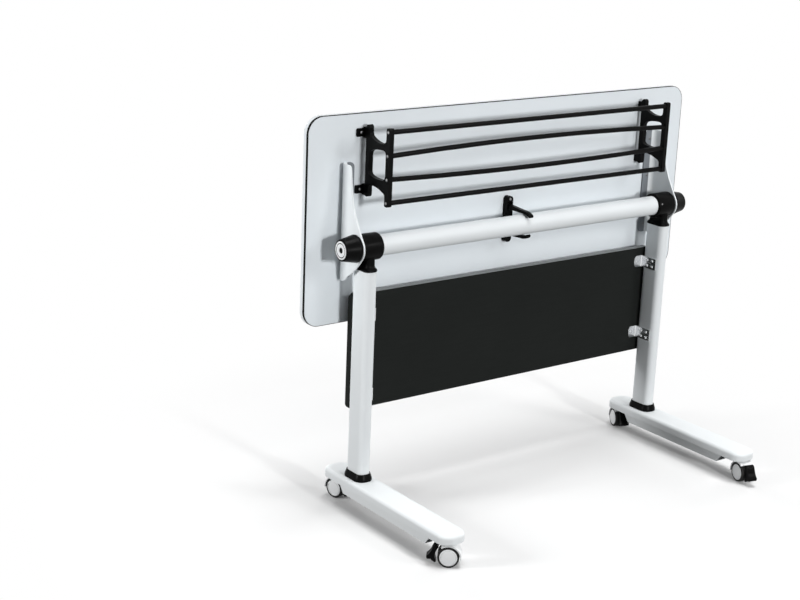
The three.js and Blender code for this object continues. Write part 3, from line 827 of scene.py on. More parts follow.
def place(
    name: str,
    stock: Stock,
    body: str,
    finish: Finish,
    nodes: Sequence[str] = (),
    edge: float = 0.0,
    segments: int = 2,
) -> bpy.types.Object:
    """Make a piece of the table.

    Args:
        name: Name of the piece.
        stock: Its mesh, in the row frame.
        body: The body that it rides on.
        finish: What it is dressed in.
        nodes: The solids that it stands for.
        edge: Radius of its soft edges; zero leaves them sharp.
        segments: Steps round a soft edge.

    Returns:
        The piece.
    """
    data = stock.mesh(name)
    data.materials.append(finish.material())
    piece = bpy.data.objects.new(name, data)
    bpy.context.scene.collection.objects.link(piece)
    if edge:
        soft = piece.modifiers.new("soft_edges", "BEVEL")
        soft.width = edge
        soft.segments = segments
        soft.limit_method = "ANGLE"
        soft.angle_limit = CREASE
        soft.harden_normals = True
    else:
        data.set_sharp_from_angle(angle=CREASE)
    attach(piece, body)
    if nodes:
        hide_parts(*nodes)
    LOG.info("%s rides on %s in %s", name, body, finish.name)
    return piece


def aimed(spot: Sequence[float], way: Sequence[float]) -> Matrix:
    """Give the matrix that stands +Z at a spot and points it a way.

    Args:
        spot: Where the base goes.
        way: The direction of its axis.

    Returns:
        The matrix.
    """
    turn = Vector((0.0, 0.0, 1.0)).rotation_difference(Vector(way)).to_matrix().to_4x4()
    return Matrix.Translation(spot) @ turn


ALONG_X = aimed((0.0, 0.0, 0.0), OUTWARD)


def screw(size: Pair, spot: Sequence[float], way: Sequence[float]) -> Stock:
    """Make a pan-head screw with a cross recess.

    Args:
        size: Radius and height of the head.
        spot: Where the middle of its seat is.
        way: The direction that it looks in.

    Returns:
        The head.
    """
    radius, height = size
    crown = [(radius * math.cos(a), height * (0.35 + 0.65 * math.sin(a))) for a in (0.0, 0.5, 1.0, 1.35)]
    head = Stock().turned([(0.0, -height), (radius, -height), *crown, (0.0, height)], steps=24)
    reach, half = 0.6 * radius, 0.11 * radius
    cross = Stock().block((-reach, -half, 0.55 * height), (reach, half, 2 * height))
    other = Stock().block((-half, -reach, 0.55 * height), (half, reach, 2 * height))
    return head.cut(cross.joined(other)).moved(aimed(spot, way))


@dataclass
class Tabletop:
    """The board, which stands upright at rest, with its two-tone edge band."""

    length: float = 1.2
    depth: float = 0.5
    thickness: float = 0.018
    above: float = 0.3
    gap: float = UNDERSIDE
    corner: float = 0.04
    band: float = 0.001
    stripe: float = 0.007
    fit: float = FIT

    def outline(self, inset: float) -> Outline:
        """Outline the top, drawn in by an inset."""
        half = self.length / 2 - inset
        return rounded(-half, half, self.above - self.depth + inset, self.above - inset, self.corner - inset)

    def build(self) -> None:
        """Build and dress the board and its band."""
        face = self.gap + self.thickness
        split = self.gap + self.stripe
        board = Stock().plate([self.outline(self.band + self.fit)], self.gap, face, Facing.Y)
        place("tabletop_look", board.moved(FROM_BEAM), "top", LAMINATE, ["tabletop_board"], edge=0.0004)
        rings = [self.outline(0.0), self.outline(self.band)]
        dark = Stock().plate(rings, self.gap, split - self.fit / 2, Facing.Y)
        place("dark_band_look", dark.moved(FROM_BEAM), "top", BAND_DARK, ["edge_band_dark"], edge=0.0003)
        light = Stock().plate(rings, split + self.fit / 2, face, Facing.Y)
        place("light_band_look", light.moved(FROM_BEAM), "top", BAND_LIGHT, ["edge_band_light"], edge=0.0003)


@dataclass
class Beam:
    """The round tube between the hubs."""

    radius: float = BEAM_RADIUS
    wall: float = 0.002
    half: float = 0.48675

    def build(self) -> None:
        """Build and dress the tube."""
        tube = Stock().tube(self.radius - self.wall, self.radius, -self.half, self.half, steps=96)
        place("beam_look", tube.moved(FROM_BEAM @ ALONG_X), "frame", WHITE_PAINT, ["beam_tube"])


@dataclass
class OnColumn:
    """What stands on a column's axis, with the section of the column."""

    side: Side
    column: float = COLUMN
    half_width: float = COLUMN_HALF
    half_depth: float = 0.031
    corner: float = 0.014

    def ring(self, more: float, height: float) -> list[Vector]:
        """Give a flat-sided ring round the column's axis.

        Args:
            more: How much it is wider than the column.
            height: Its height above the level that the piece is measured from.

        Returns:
            The ring.
        """
        wide, deep = self.half_width + more, self.half_depth + more
        shape = rounded(-wide, wide, -deep, deep, self.corner + more)
        return [Vector((x + self.column, y, height)) for x, y in shape]


@dataclass
class Hub(OnColumn):
    """The T-shaped moulding that joins beam and column, with the end knob outside the tilt plate."""

    radius: float = 0.03225
    start: float = 0.447
    stop: float = 0.503
    mouth_round: float = 0.004
    end_round: float = 0.0015
    socket: float = 0.02525
    drop: float = 0.054
    spigot: float = 0.04
    neck: Sequence[Pair] = (
        (-0.0025, 0.0), (0.0008, 0.0), (0.0015, 0.0008), (0.0015, 0.0036), (0.0004, 0.0052),
        (-0.0018, 0.007), (-0.0034, 0.0092), (-0.0045, 0.012), (-0.005, 0.016))
    neck_top: float = -0.011
    beam_seat: Pair = (0.40, 0.487)
    bolt: float = 0.01125
    bolt_reach: Pair = (0.48, 0.52)
    bolt_depth: float = 0.024
    knob_start: float = 0.509
    knob_stop: float = 0.549
    knob_base: float = 0.033
    knob_end: float = 0.0255
    disc: float = 0.0215
    disc_seat: float = 0.003
    disc_back: float = 0.00275
    disc_proud: float = 0.0008
    post: float = 0.0065
    groove: Pair = (0.0157, 0.0176)
    groove_depth: float = 0.0016
    screw_way: Pair = (-0.96, 0.28)
    screw_inset: float = 0.008
    screw_sunk: float = 0.0004
    screw_size: Pair = (0.0024, 0.0008)

    def sleeve(self) -> Stock:
        """Make the T-shaped moulding.

        Returns:
            The moulding, with its seats for the beam and the bolt.
        """
        mouth, end = self.mouth_round, self.end_round
        outside = [
            (0.0, self.start),
            *arc((self.radius - mouth, self.start + mouth), mouth, -90, 0, 6),
            (self.radius, self.stop - 0.0025),
            *arc((self.radius - end, self.stop - end), end, 0, 90, 4),
            (0.0, self.stop),
        ]
        barrel = Stock().turned(outside, steps=96).moved(ALONG_X)
        low = -self.drop
        neck = Stock().loft([
            self.ring(self.neck[0][0], low - self.spigot),
            *(self.ring(more, low + up) for more, up in self.neck),
            self.ring(self.neck[-1][0], self.neck_top),
        ])
        seat = Stock().rod(self.socket, *self.beam_seat, steps=96).moved(ALONG_X)
        bolt = Stock().rod(self.bolt, *self.bolt_reach, steps=48).moved(ALONG_X)
        return barrel.joined(neck).cut(seat).cut(bolt)

    def knob(self) -> Stock:
        """Make the conical end knob with its recess for the disc.

        Returns:
            The knob.
        """
        length = self.knob_stop - self.knob_start
        recess = self.disc + FIT
        floor = self.knob_stop - self.disc_seat
        middle = 0.45 * self.knob_base + 0.55 * self.knob_end
        profile = [
            (0.0, self.knob_start + self.bolt_depth),
            (self.bolt, self.knob_start + self.bolt_depth),
            (self.bolt, self.knob_start),
            (self.knob_base - 0.002, self.knob_start),
            *arc((self.knob_base - 0.0018, self.knob_start + 0.0018), 0.0018, -60, 0, 4),
            (self.knob_base - 0.0006, self.knob_start + 0.005),
            (middle + 0.0004, self.knob_start + 0.5 * length),
            (self.knob_end + 0.001, self.knob_stop - 0.005),
            *arc((self.knob_end - 0.0019, self.knob_stop - 0.0025), 0.0025, 10, 90, 5),
            (recess + 0.0006, self.knob_stop),
            (recess, self.knob_stop - 0.0006),
            (recess, floor),
            (self.post, floor),
            (self.post, self.knob_stop - 0.0006),
            (0.0, self.knob_stop - 0.0005),
        ]
        return Stock().turned(profile, steps=96).moved(ALONG_X)

    def cover(self) -> Stock:
        """Make the plain disc with its groove and open middle.

        Returns:
            The disc.
        """
        hole = self.post + FIT
        top = self.knob_stop + self.disc_proud
        low, high = self.groove
        profile = [
            (hole, self.knob_stop - self.disc_back),
            (self.disc, self.knob_stop - self.disc_back),
            (self.disc, top - 0.0009),
            *arc((self.disc - 0.0008, top - 0.0008), 0.0008, 10, 90, 4),
            (high + 0.0002, top),
            (high, top - self.groove_depth),
            (low, top - self.groove_depth),
            (low - 0.0002, top - 0.0001),
            (hole + 0.0012, top - 0.0001),
            (hole, top - 0.0012),
        ]
        return Stock().turned(profile, steps=96, looped=True).moved(ALONG_X)

    def groove_shade(self) -> Stock:
        """Make the black ring in the groove of the disc, which paints the groove's shade.

        Returns:
            The ring.
        """
        low, high = self.groove
        floor = self.knob_stop - 0.0008
        crown = [(high, floor + 0.0009), ((low + high) / 2, floor + 0.0011), (low, floor + 0.0009)]
        return Stock().turned([(low, floor), (high, floor), *crown], steps=96, looped=True).moved(ALONG_X)

    def build(self) -> None:
        """Build and dress the moulding, the knob, its disc and a set screw.

        The same moulding serves both ends, turned half round, so its screw looks ahead at one end only.
        """
        word = self.side.word
        pieces = (
            ("hub_look", self.sleeve(), BLACK_PLASTIC, [f"hub_{word}"]),
            ("knob_look", self.knob(), BLACK_PLASTIC, [f"end_knob_{word}"]),
            ("disc_look", self.cover(), CAP, [f"knob_disc_{word}"]),
            # The black ring in the disc's groove is painted shade of the groove.
            ("disc_groove_shade", self.groove_shade(), BLACK_PLASTIC, []),
        )
        for name, stock, finish, nodes in pieces:
            place(f"{name}_{word}", stock.moved(self.side.from_beam), "frame", finish, nodes)
        way = Vector((0.0, self.screw_way[0] * self.side.value, self.screw_way[1]))
        spot = Vector((self.start + self.screw_inset, 0.0, 0.0)) + way * (self.radius - self.screw_sunk)
        grub = screw(self.screw_size, spot, way)
        place(f"hub_screw_{word}", grub.moved(self.side.from_beam), "frame", DULL_STEEL)


@dataclass
class Leg(OnColumn):
    """A column with its collar, the foot cover and the rail under it."""

    wall: float = 0.002
    top: float = 0.60075
    collar: float = 0.018
    spread: float = 0.007
    foot_top: float = 0.08
    foot_seam: float = 0.058
    foot_front: float = -0.388
    foot_rear: float = 0.108
    foot_half: float = 0.036
    foot_corner: float = 0.028
    edge: float = 0.009
    chamfer: float = 0.0006
    shell: float = 0.003
    boss: float = 0.013
    boss_bore: float = 0.0054
    boss_lift: float = 0.001
    rail_half: float = 0.026
    rail_low: float = 0.033
    rail_inset: float = 0.05
    rail_slant: float = 0.033
    spare: float = 0.01
    stem_inset: float = 0.018
    fit: float = FIT

    def foot_ring(self, inset: float, height: float) -> list[Vector]:
        """Give a ring of the foot's outline.

        Args:
            inset: How far it is drawn in.
            height: Its height above the floor.

        Returns:
            The ring.
        """
        wide, corner = self.foot_half - inset, self.foot_corner - inset
        shape = rounded(-wide, wide, self.foot_front + inset, self.foot_rear - inset, corner)
        return [Vector((x + self.column, y, height)) for x, y in shape]

    def tube(self) -> Stock:
        """Make the flat-sided column tube.

        Returns:
            The tube.
        """
        low = self.foot_top + self.fit
        return Stock().loft([
            self.ring(-self.wall, low),
            self.ring(0.0, low),
            self.ring(0.0, self.top),
            self.ring(-self.wall, self.top),
        ], looped=True)

    def base_collar(self) -> Stock:
        """Make the tapered collar at the column's foot.

        Returns:
            The collar.
        """
        low = self.foot_top + self.fit
        steps = [(1.0, 0.0), (1.0, 0.004), (0.95, 0.0058), (0.8, 0.0085), (0.62, 0.0125), (0.44, 0.0165)]
        rings = [self.ring(share * self.spread, low + up) for share, up in steps]
        rings.append(self.ring(0.3 * self.spread, low + self.collar))
        rings += [self.ring(self.fit, low + self.collar - self.chamfer), self.ring(self.fit, low)]
        return Stock().loft(rings, looped=True)

    def cover(self) -> Stock:
        """Make the foot cover: a pan with a soft upper edge and a boss for each castor.

        Returns:
            The cover.
        """
        turn = [math.radians(angle) for angle in (0, 18, 36, 54, 72, 90)]
        start = self.foot_top - self.edge
        rings = [
            self.foot_ring(self.shell, self.foot_seam),
            self.foot_ring(self.chamfer, self.foot_seam),
            self.foot_ring(0.0, self.foot_seam + self.chamfer),
            *(self.foot_ring(self.edge * (1 - math.cos(a)), start + self.edge * math.sin(a)) for a in turn),
        ]
        pan = Stock().loft(rings, capped=False)
        pan.faces.append(pan.take(self.foot_ring(self.edge, self.foot_top)))
        inside = [
            self.foot_ring(self.shell, self.foot_seam),
            self.foot_ring(self.shell, start),
            self.foot_ring(self.edge, self.foot_top - self.shell),
        ]
        pan.loft(inside, capped=False)
        pan.faces.append(pan.take(inside[-1]))
        low, high = self.foot_seam + self.boss_lift, self.foot_top - 0.8 * self.shell
        for y in (self.foot_front + self.stem_inset, self.foot_rear - self.stem_inset):
            boss = Stock().tube(self.boss_bore, self.boss, low, high, steps=32)
            pan.with_stock(boss.moved(Matrix.Translation((self.column, y, 0.0))))
        return pan

    def rail(self) -> Stock:
        """Make the hollow rail with its slanted ends.

        Returns:
            The rail.
        """
        high = self.foot_top - self.shell - self.fit
        front, rear = self.foot_front + self.rail_inset, self.foot_rear - self.rail_inset
        side = [(front + self.rail_slant, self.rail_low), (rear - self.rail_slant, self.rail_low)]
        side += [(rear, high), (front, high)]
        outside = Stock().plate([side], self.column - self.rail_half, self.column + self.rail_half, Facing.X)
        wall = self.shell
        hollow = Stock().block(
            (self.column - self.rail_half + wall, front - self.spare, self.rail_low + wall),
            (self.column + self.rail_half - wall, rear + self.spare, high - wall),
        )
        return outside.cut(hollow)

    def build(self) -> None:
        """Build and dress the column, collar, cover and rail."""
        word = self.side.word
        pieces = (
            ("column_look", self.tube(), WHITE_PAINT, "column", 0.0),
            ("collar_look", self.base_collar(), BLACK_PLASTIC, "column_collar", 0.0),
            ("foot_look", self.cover(), WHITE_PAINT, "foot_cover", 0.0),
            ("rail_look", self.rail(), WHITE_PAINT, "foot_rail", 0.0012),
        )
        for name, stock, finish, node, edge in pieces:
            stock.moved(self.side.from_floor)
            place(f"{name}_{word}", stock, "frame", finish, [f"{node}_{word}"], edge)


@dataclass
class TiltPlate:
    """The fin that turns about the beam, bent over into a flange under the board."""

    side: Side
    start: float = 0.504
    thickness: float = 0.004
    gap: float = UNDERSIDE
    above: float = 0.188
    below: float = 0.09
    tail: float = 0.04
    nose: float = 0.034
    flange: float = 0.036
    bend: float = 0.014
    bore: float = 0.0114
    bore_reach: Pair = (0.49, 0.52)
    corner: float = 0.012
    rise: float = 42.0
    spare: float = 0.01
    cut_reach: float = 0.1
    screw_size: Pair = (0.0035, 0.002)
    fit: float = FIT

    def angle_bar(self) -> Stock:
        """Make the bent bar that the plate is cut from.

        Returns:
            The bar.
        """
        stop = self.start + self.thickness
        back = self.gap - self.fit
        inner = stop - self.flange
        middle = (stop - self.bend, back - self.bend)
        section = [
            (self.start, -2 * self.nose),
            (stop, -2 * self.nose),
            *arc(middle, self.bend, 0, 90, 10),
            (inner, back),
            (inner, back - self.thickness),
            *arc(middle, self.bend - self.thickness, 90, 0, 10),
        ]
        return Stock().plate([section], -self.below, self.above, Facing.Z)

    def silhouette(self) -> Outline:
        """Outline the fin seen from the end of the table.

        Returns:
            The outline, from the foot of the flange up and round the front.
        """
        tail = self.gap - self.tail
        rise = math.radians(self.rise)
        shoulder = (-self.nose * math.cos(rise), self.nose * math.sin(rise))
        neck = (tail - 0.0125, 0.56 * self.above)
        return [
            # The straight back, past the board's underside.
            (self.gap + self.spare, -self.below),
            (self.gap + self.spare, self.above),
            # The tip and the slim upper fin.
            *bend((tail + 0.008, self.above), (tail, self.above), (tail - 0.001, self.above - 0.01), 6),
            *bend((tail - 0.004, 0.82 * self.above), (tail - 0.007, 0.7 * self.above), neck, 8),
            # The sweep out to the round nose at the pivot.
            *bend(neck, (tail - 0.019, 0.42 * self.above), shoulder, 10),
            *arc((0.0, 0.0), self.nose, 180 - self.rise, 215, 16),
            # The slant back to the foot of the flange.
            *bend(
                (-0.81 * self.nose, -0.57 * self.nose),
                (-0.35 * self.nose, -0.5 * self.below),
                (0.45 * self.gap, -0.84 * self.below), 10),
            *bend(
                (0.47 * self.gap, -0.85 * self.below),
                (0.6 * self.gap, -self.below), (0.75 * self.gap, -self.below), 6),
        ]

    def build(self) -> None:
        """Build and dress the plate and its screws."""
        stop = self.start + self.thickness
        inner = stop - self.flange
        side_cut = Stock().plate([self.silhouette()], inner - self.spare, stop + self.spare, Facing.X)
        front = rounded(inner, stop + 2 * self.spare, -self.below, self.above, self.corner, 8)
        front_cut = Stock().plate([front], -self.cut_reach, self.gap + 2 * self.spare, Facing.Y)
        hole = Stock().rod(self.bore, *self.bore_reach, steps=48).moved(ALONG_X)
        plate = self.angle_bar().trimmed(side_cut).trimmed(front_cut).cut(hole).moved(self.side.from_beam)
        word = self.side.word
        place(f"tilt_plate_look_{word}", plate, "top", FIN_PAINT, [f"tilt_plate_{word}"], edge=0.0006)
        face = self.gap - self.fit - self.thickness
        heads = Stock()
        for up in (-0.75 * self.below, 0.35 * self.above, 0.88 * self.above):
            heads.with_stock(screw(self.screw_size, (inner + 0.4 * self.flange, face, up), AHEAD))
        place(f"tilt_screws_{word}", heads.moved(self.side.from_beam), "top", DULL_STEEL)


@dataclass
class Basket:
    """The book basket: a cast bracket at each end and the rods between them."""

    middle: float = 0.442
    bar: float = 0.012
    gap: float = UNDERSIDE
    depth: float = 0.099
    outer: float = 0.014
    inner: float = 0.014
    inner_offset: float = 0.02
    tip: float = 0.004
    rod: float = 0.006
    rises: Sequence[float] = (0.0, -0.007, 0.009, 0.0)
    first: float = 0.106
    pitch: float = 0.055
    overhang: float = 0.009
    pad: float = 0.02
    pad_thickness: float = 0.004
    pad_corner: float = 0.003
    pad_inset: float = 0.0002
    pad_shares: Pair = (0.133, 0.866)
    screw_size: Pair = (0.0035, 0.002)
    fit: float = FIT

    @property
    def rod_y(self) -> float:
        """Give where the rods lie in front of the beam axis."""
        return self.gap - self.depth

    def up(self, share: float) -> float:
        """Give a height in the bracket from a share of its length."""
        low = self.first - self.overhang
        return low + share * ((len(self.rises) - 1) * self.pitch + 2 * self.overhang)

    def outlines(self) -> list[Outline]:
        """Outline the bracket seen from the end, and the window in it.

        Returns:
            The outline round the bracket and that of the window.
        """
        front, back = self.rod_y - self.outer / 2, self.rod_y + self.outer / 2
        near = self.gap - self.inner_offset - self.inner / 2
        middle = (back + near) / 2
        up = self.up
        tip, eye = self.tip, self.inner / 2
        around = [
            # The foot of the front bar.
            *arc((front + tip, up(0) + tip), tip, 180, 270, 5),
            *arc((back - tip, up(0) + tip), tip, 270, 360, 5),
            # The underside of the lower arm.
            *bend((back, up(0.125)), (back, up(0.155)), (back + 0.008, up(0.17)), 5),
            *bend((back + 0.009, up(0.172)), (middle + 0.004, up(0.235)), (near - 0.006, up(0.215)), 10),
            *bend((near - 0.005, up(0.212)), (near, up(0.2)), (near, up(0.17)), 5),
            # The rear bar with its round ends.
            *arc((near + eye, up(0.05) + eye), eye, 180, 360, 10),
            *arc((near + eye, up(0.98) - eye), eye, 0, 180, 10),
            # The upper side of the upper arm.
            *bend((near, up(0.9)), (near, up(0.85)), (near - 0.006, up(0.835)), 5),
            *bend((near - 0.008, up(0.83)), (middle, up(0.765)), (back + 0.008, up(0.795)), 10),
            *bend((back + 0.006, up(0.8)), (back, up(0.815)), (back, up(0.86)), 5),
            # The head of the front bar.
            *arc((back - tip, up(1) - tip), tip, 0, 90, 5),
            *arc((front + tip, up(1) - tip), tip, 90, 180, 5),
        ]
        window = [
            *bend((back, up(0.40)), (back, up(0.33)), (back + 0.012, up(0.325)), 6),
            *bend((back + 0.014, up(0.324)), (middle + 0.01, up(0.315)), (near - 0.006, up(0.345)), 6),
            *bend((near - 0.005, up(0.35)), (near, up(0.36)), (near, up(0.40)), 5),
            *bend((near, up(0.60)), (near, up(0.645)), (near - 0.008, up(0.665)), 6),
            *bend((near - 0.01, up(0.67)), (middle, up(0.71)), (back + 0.01, up(0.705)), 8),
            *bend((back + 0.008, up(0.704)), (back, up(0.7)), (back, up(0.64)), 6),
        ]
        return [around, window]

    def bracket(self) -> Stock:
        """Make the cast end bracket with its bosses and screw pads.

        Returns:
            The bracket.
        """
        start, stop = self.middle - self.bar / 2, self.middle + self.bar / 2
        made = Stock().plate(self.outlines(), start, stop, Facing.X)
        back = self.gap - self.fit
        near = start + self.pad_inset
        tall = 0.65 * self.pad
        for share in self.pad_shares:
            up = self.up(share)
            boss = rounded(self.gap - self.inner_offset, back, up - tall, up + tall, self.pad_corner, 4)
            made.with_stock(Stock().plate([boss], near, stop - self.pad_inset, Facing.X))
            flat = rounded(near, stop + self.pad, up - self.pad / 2, up + self.pad / 2, self.pad_corner, 5)
            made.with_stock(Stock().plate([flat], back - self.pad_thickness, back, Facing.Y))
        return made

    def heads(self) -> Stock:
        """Make the pad screws of one bracket.

        Returns:
            The screw heads.
        """
        face = self.gap - self.fit - self.pad_thickness
        made = Stock()
        for share in self.pad_shares:
            spot = (self.middle + self.bar / 2 + 0.35 * self.pad, face, self.up(share))
            made.with_stock(screw(self.screw_size, spot, AHEAD))
        return made

    def rod_stock(self, rise: float) -> Stock:
        """Make a rod along X.

        Args:
            rise: How far its middle stands above its ends.

        Returns:
            The rod, with the middle of its ends at the origin.
        """
        half = self.middle - self.bar / 2 - self.fit
        steps = 12 if rise else 1
        rings = []
        for step in range(steps + 1):
            along = 2 * step / steps - 1
            lift = Vector((along * half, 0.0, rise * (1 - along * along)))
            rings.append([lift + Vector((0.0, *point)) for point in arc((0.0, 0.0), self.rod, 0, 352.5, 47)])
        return Stock().loft(rings)

    def rivets(self) -> Stock:
        """Make the domed ends of the rods on the outside of one bracket.

        Returns:
            The domes.
        """
        dome = [
            (0.0, -0.001), (0.0038, -0.001), (0.0038, 0.0006),
            (0.0028, 0.0016), (0.0012, 0.0019), (0.0, 0.0019)]
        made = Stock()
        for i in range(len(self.rises)):
            spot = (self.middle + self.bar / 2, self.rod_y, self.first + i * self.pitch)
            made.with_stock(Stock().turned(dome, steps=24).moved(aimed(spot, OUTWARD)))
        return made

    def build(self) -> None:
        """Build and dress the brackets, their screws and the rods."""
        for side in Side:
            bracket = self.bracket().moved(side.from_beam)
            node = f"basket_end_{side.word}"
            place(f"basket_bracket_{side.word}", bracket, "top", BLACK_PAINT, [node], edge=0.0021, segments=3)
            place(f"basket_screws_{side.word}", self.heads().moved(side.from_beam), "top", DULL_STEEL)
            place(f"basket_rivets_{side.word}", self.rivets().moved(side.from_beam), "top", DULL_STEEL)
        for i, rise in enumerate(self.rises):
            spot = Matrix.Translation((0.0, self.rod_y, self.first + i * self.pitch))
            rod = self.rod_stock(rise).moved(FROM_BEAM @ spot)
            place(f"rod_look_{i + 1}", rod, "top", BLACK_PAINT, [f"basket_rod_{i + 1}"])


@dataclass
class Latch:
    """The latch housing under the board, the release lever and the lower arm."""

    gap: float = UNDERSIDE
    half: float = 0.01
    depth: float = 0.016
    above: float = 0.06
    below: float = 0.058
    lever_half: float = 0.006
    lever: float = 0.008
    beam: float = BEAM_RADIUS
    clear: float = 0.0026
    reach: float = 0.03
    arm_reach: float = 0.024
    slack: float = 0.0004
    slot_over: float = 0.004
    slot_under: float = 0.002
    slot_behind: float = 0.001
    spare: float = 0.01
    screw_size: Pair = (0.0035, 0.0019)
    fit: float = FIT

    @property
    def under(self) -> float:
        """Give the height of the lever's underside over the beam axis."""
        return self.beam + self.clear

    @property
    def barrel(self) -> float:
        """Give the radius of the lever's root."""
        return 0.8 * self.lever

    @property
    def pivot(self) -> Pair:
        """Give the lever's pivot across and above the beam axis."""
        return self.gap - 0.55 * self.depth, self.under + self.barrel

    @property
    def slot_top(self) -> float:
        """Give the top of the lever's slot above the beam axis."""
        return self.pivot[1] + self.barrel + self.slot_over

    def housing(self) -> Stock:
        """Make the housing with a slot for each finger.

        Returns:
            The housing.
        """
        face = self.gap - self.depth
        outline = rounded(-self.half, self.half, -self.below, self.above, 0.9 * self.half, 16)
        body = Stock().plate([outline], face, self.gap - self.fit, Facing.Y)
        wide = self.lever_half + self.slack
        back = self.pivot[0] + self.barrel + self.slot_behind
        low, high = self.under - self.slot_under, self.slot_top
        for bottom, top in ((low, high), (-high, -low)):
            body = body.cut(Stock().block((-wide, face - self.spare, bottom), (wide, back, top)))
        return body

    def finger(self, reach: float) -> Stock:
        """Make a finger that reaches past the beam.

        Args:
            reach: How far its tip is in front of the beam axis.

        Returns:
            The finger, as it lies above the beam.
        """
        under, high = self.under, self.under + self.lever
        y, z = self.pivot
        outline = [
            # The upper side, from the root over the beam to the tip.
            *bend((y, z + self.barrel), (0.4 * y, high + 0.001), (0.0, high), 10),
            *bend((-0.02 * reach, high), (-0.7 * reach, high), (-reach, under), 10),
            # The tip, which dips in front of the beam.
            *bend(
                (-reach - 0.0002, under - 0.0005), (-reach - 0.002, under - 0.6 * self.lever),
                (-0.9 * reach, under - 0.75 * self.lever), 5),
            # The underside, back to the root.
            *bend((-0.88 * reach, under - 0.74 * self.lever), (-0.6 * reach, under), (0.0, under), 10),
            *arc((y, z), self.barrel, -90, 80, 12),
        ]
        return Stock().plate([outline], -self.lever_half, self.lever_half, Facing.X)

    def build(self) -> None:
        """Build and dress the housing, its screw and both fingers."""
        spot = (0.0, self.gap - self.depth, (self.slot_top + self.above) / 2)
        head = screw(self.screw_size, spot, AHEAD)
        flip = Matrix.Diagonal((1.0, 1.0, -1.0, 1.0))
        arm = self.finger(self.arm_reach).moved(flip)
        pieces = (
            ("latch_look", self.housing(), "top", BLACK_PLASTIC, ["latch_housing"], 0.0015),
            ("latch_screw", head, "top", DULL_STEEL, [], 0.0),
            ("lever_look", self.finger(self.reach), "lever", BLACK_PLASTIC, ["release_lever"], 0.0016),
            ("arm_look", arm, "arm", BLACK_PLASTIC, ["latch_arm"], 0.0016),
        )
        for name, stock, body, finish, nodes, edge in pieces:
            place(name, stock.moved(FROM_BEAM), body, finish, nodes, edge, segments=3)


@dataclass
class Panel:
    """The modesty panel and the bent clips that hold it to the columns."""

    column: float = COLUMN
    half_width: float = COLUMN_HALF
    past: float = 0.01
    low: float = 0.242
    high: float = 0.532
    front: float = 0.034
    thickness: float = 0.018
    corner: float = 0.014
    clip: float = 0.002
    clip_half: float = 0.0155
    clip_reach: float = 0.055
    clip_span: float = 0.02
    clip_bend: float = 0.005
    clip_rows: Pair = (-0.008, 0.01)
    clip_heights: Sequence[tuple[str, float]] = (("upper", 0.4945), ("lower", 0.296))
    screw_size: Pair = (0.0036, 0.002)
    fit: float = FIT

    def clip_stock(self, height: float) -> Stock:
        """Make one clip of the +X side.

        Args:
            height: Height of its middle above the floor.

        Returns:
            The clip.
        """
        face = self.column - self.half_width - self.fit
        back = self.front - self.fit
        low, high = height - self.clip_half, height + self.clip_half
        middle = (face - self.clip_bend, back - self.clip_bend)
        section = [
            (face - self.clip, back - self.clip_reach),
            (face, back - self.clip_reach),
            *arc(middle, self.clip_bend, 0, 90, 6),
            (face - self.clip_span, back),
            (face - self.clip_span, back - self.clip),
            *arc(middle, self.clip_bend - self.clip, 90, 0, 6),
        ]
        strip = Stock().plate([section], low, high, Facing.Z)
        tip, half = face - self.clip_span, self.clip_half
        tongue = [(tip + 0.5 * half * x, height + half * y) for x, y in arc((0.0, 0.0), 1.0, 90, 270, 16)]
        return strip.joined(Stock().plate([tongue], back - self.clip, back, Facing.Y))

    def clip_heads(self, height: float) -> Stock:
        """Make the screws of one clip.

        Args:
            height: Height of its middle above the floor.

        Returns:
            The screw heads.
        """
        face = self.column - self.half_width - self.fit - self.clip
        made = Stock()
        for y in self.clip_rows:
            for share in (-0.5, 0.5):
                spot = (face, y, height + share * self.clip_half)
                made.with_stock(screw(self.screw_size, spot, INWARD))
        spot = (face + self.clip - self.clip_span, self.front - self.fit - self.clip, height)
        return made.with_stock(screw(self.screw_size, spot, AHEAD))

    def build(self) -> None:
        """Build and dress the panel, its clips and their screws."""
        half = self.column + self.past
        outline = rounded(-half, half, self.low, self.high, self.corner)
        board = Stock().plate([outline], self.front, self.front + self.thickness, Facing.Y)
        board.moved(FROM_FLOOR)
        place("panel_look", board, "frame", PANEL_BOARD, ["modesty_panel"], edge=0.0012, segments=3)
        for side in Side:
            for level, height in self.clip_heights:
                name = f"clip_{level}_{side.word}"
                clip = self.clip_stock(height).moved(side.from_floor)
                place(f"{name}_look", clip, "frame", STEEL, [f"panel_{name}"], edge=0.0004)
                place(f"{name}_screws", self.clip_heads(height).moved(side.from_floor), "frame", STEEL)


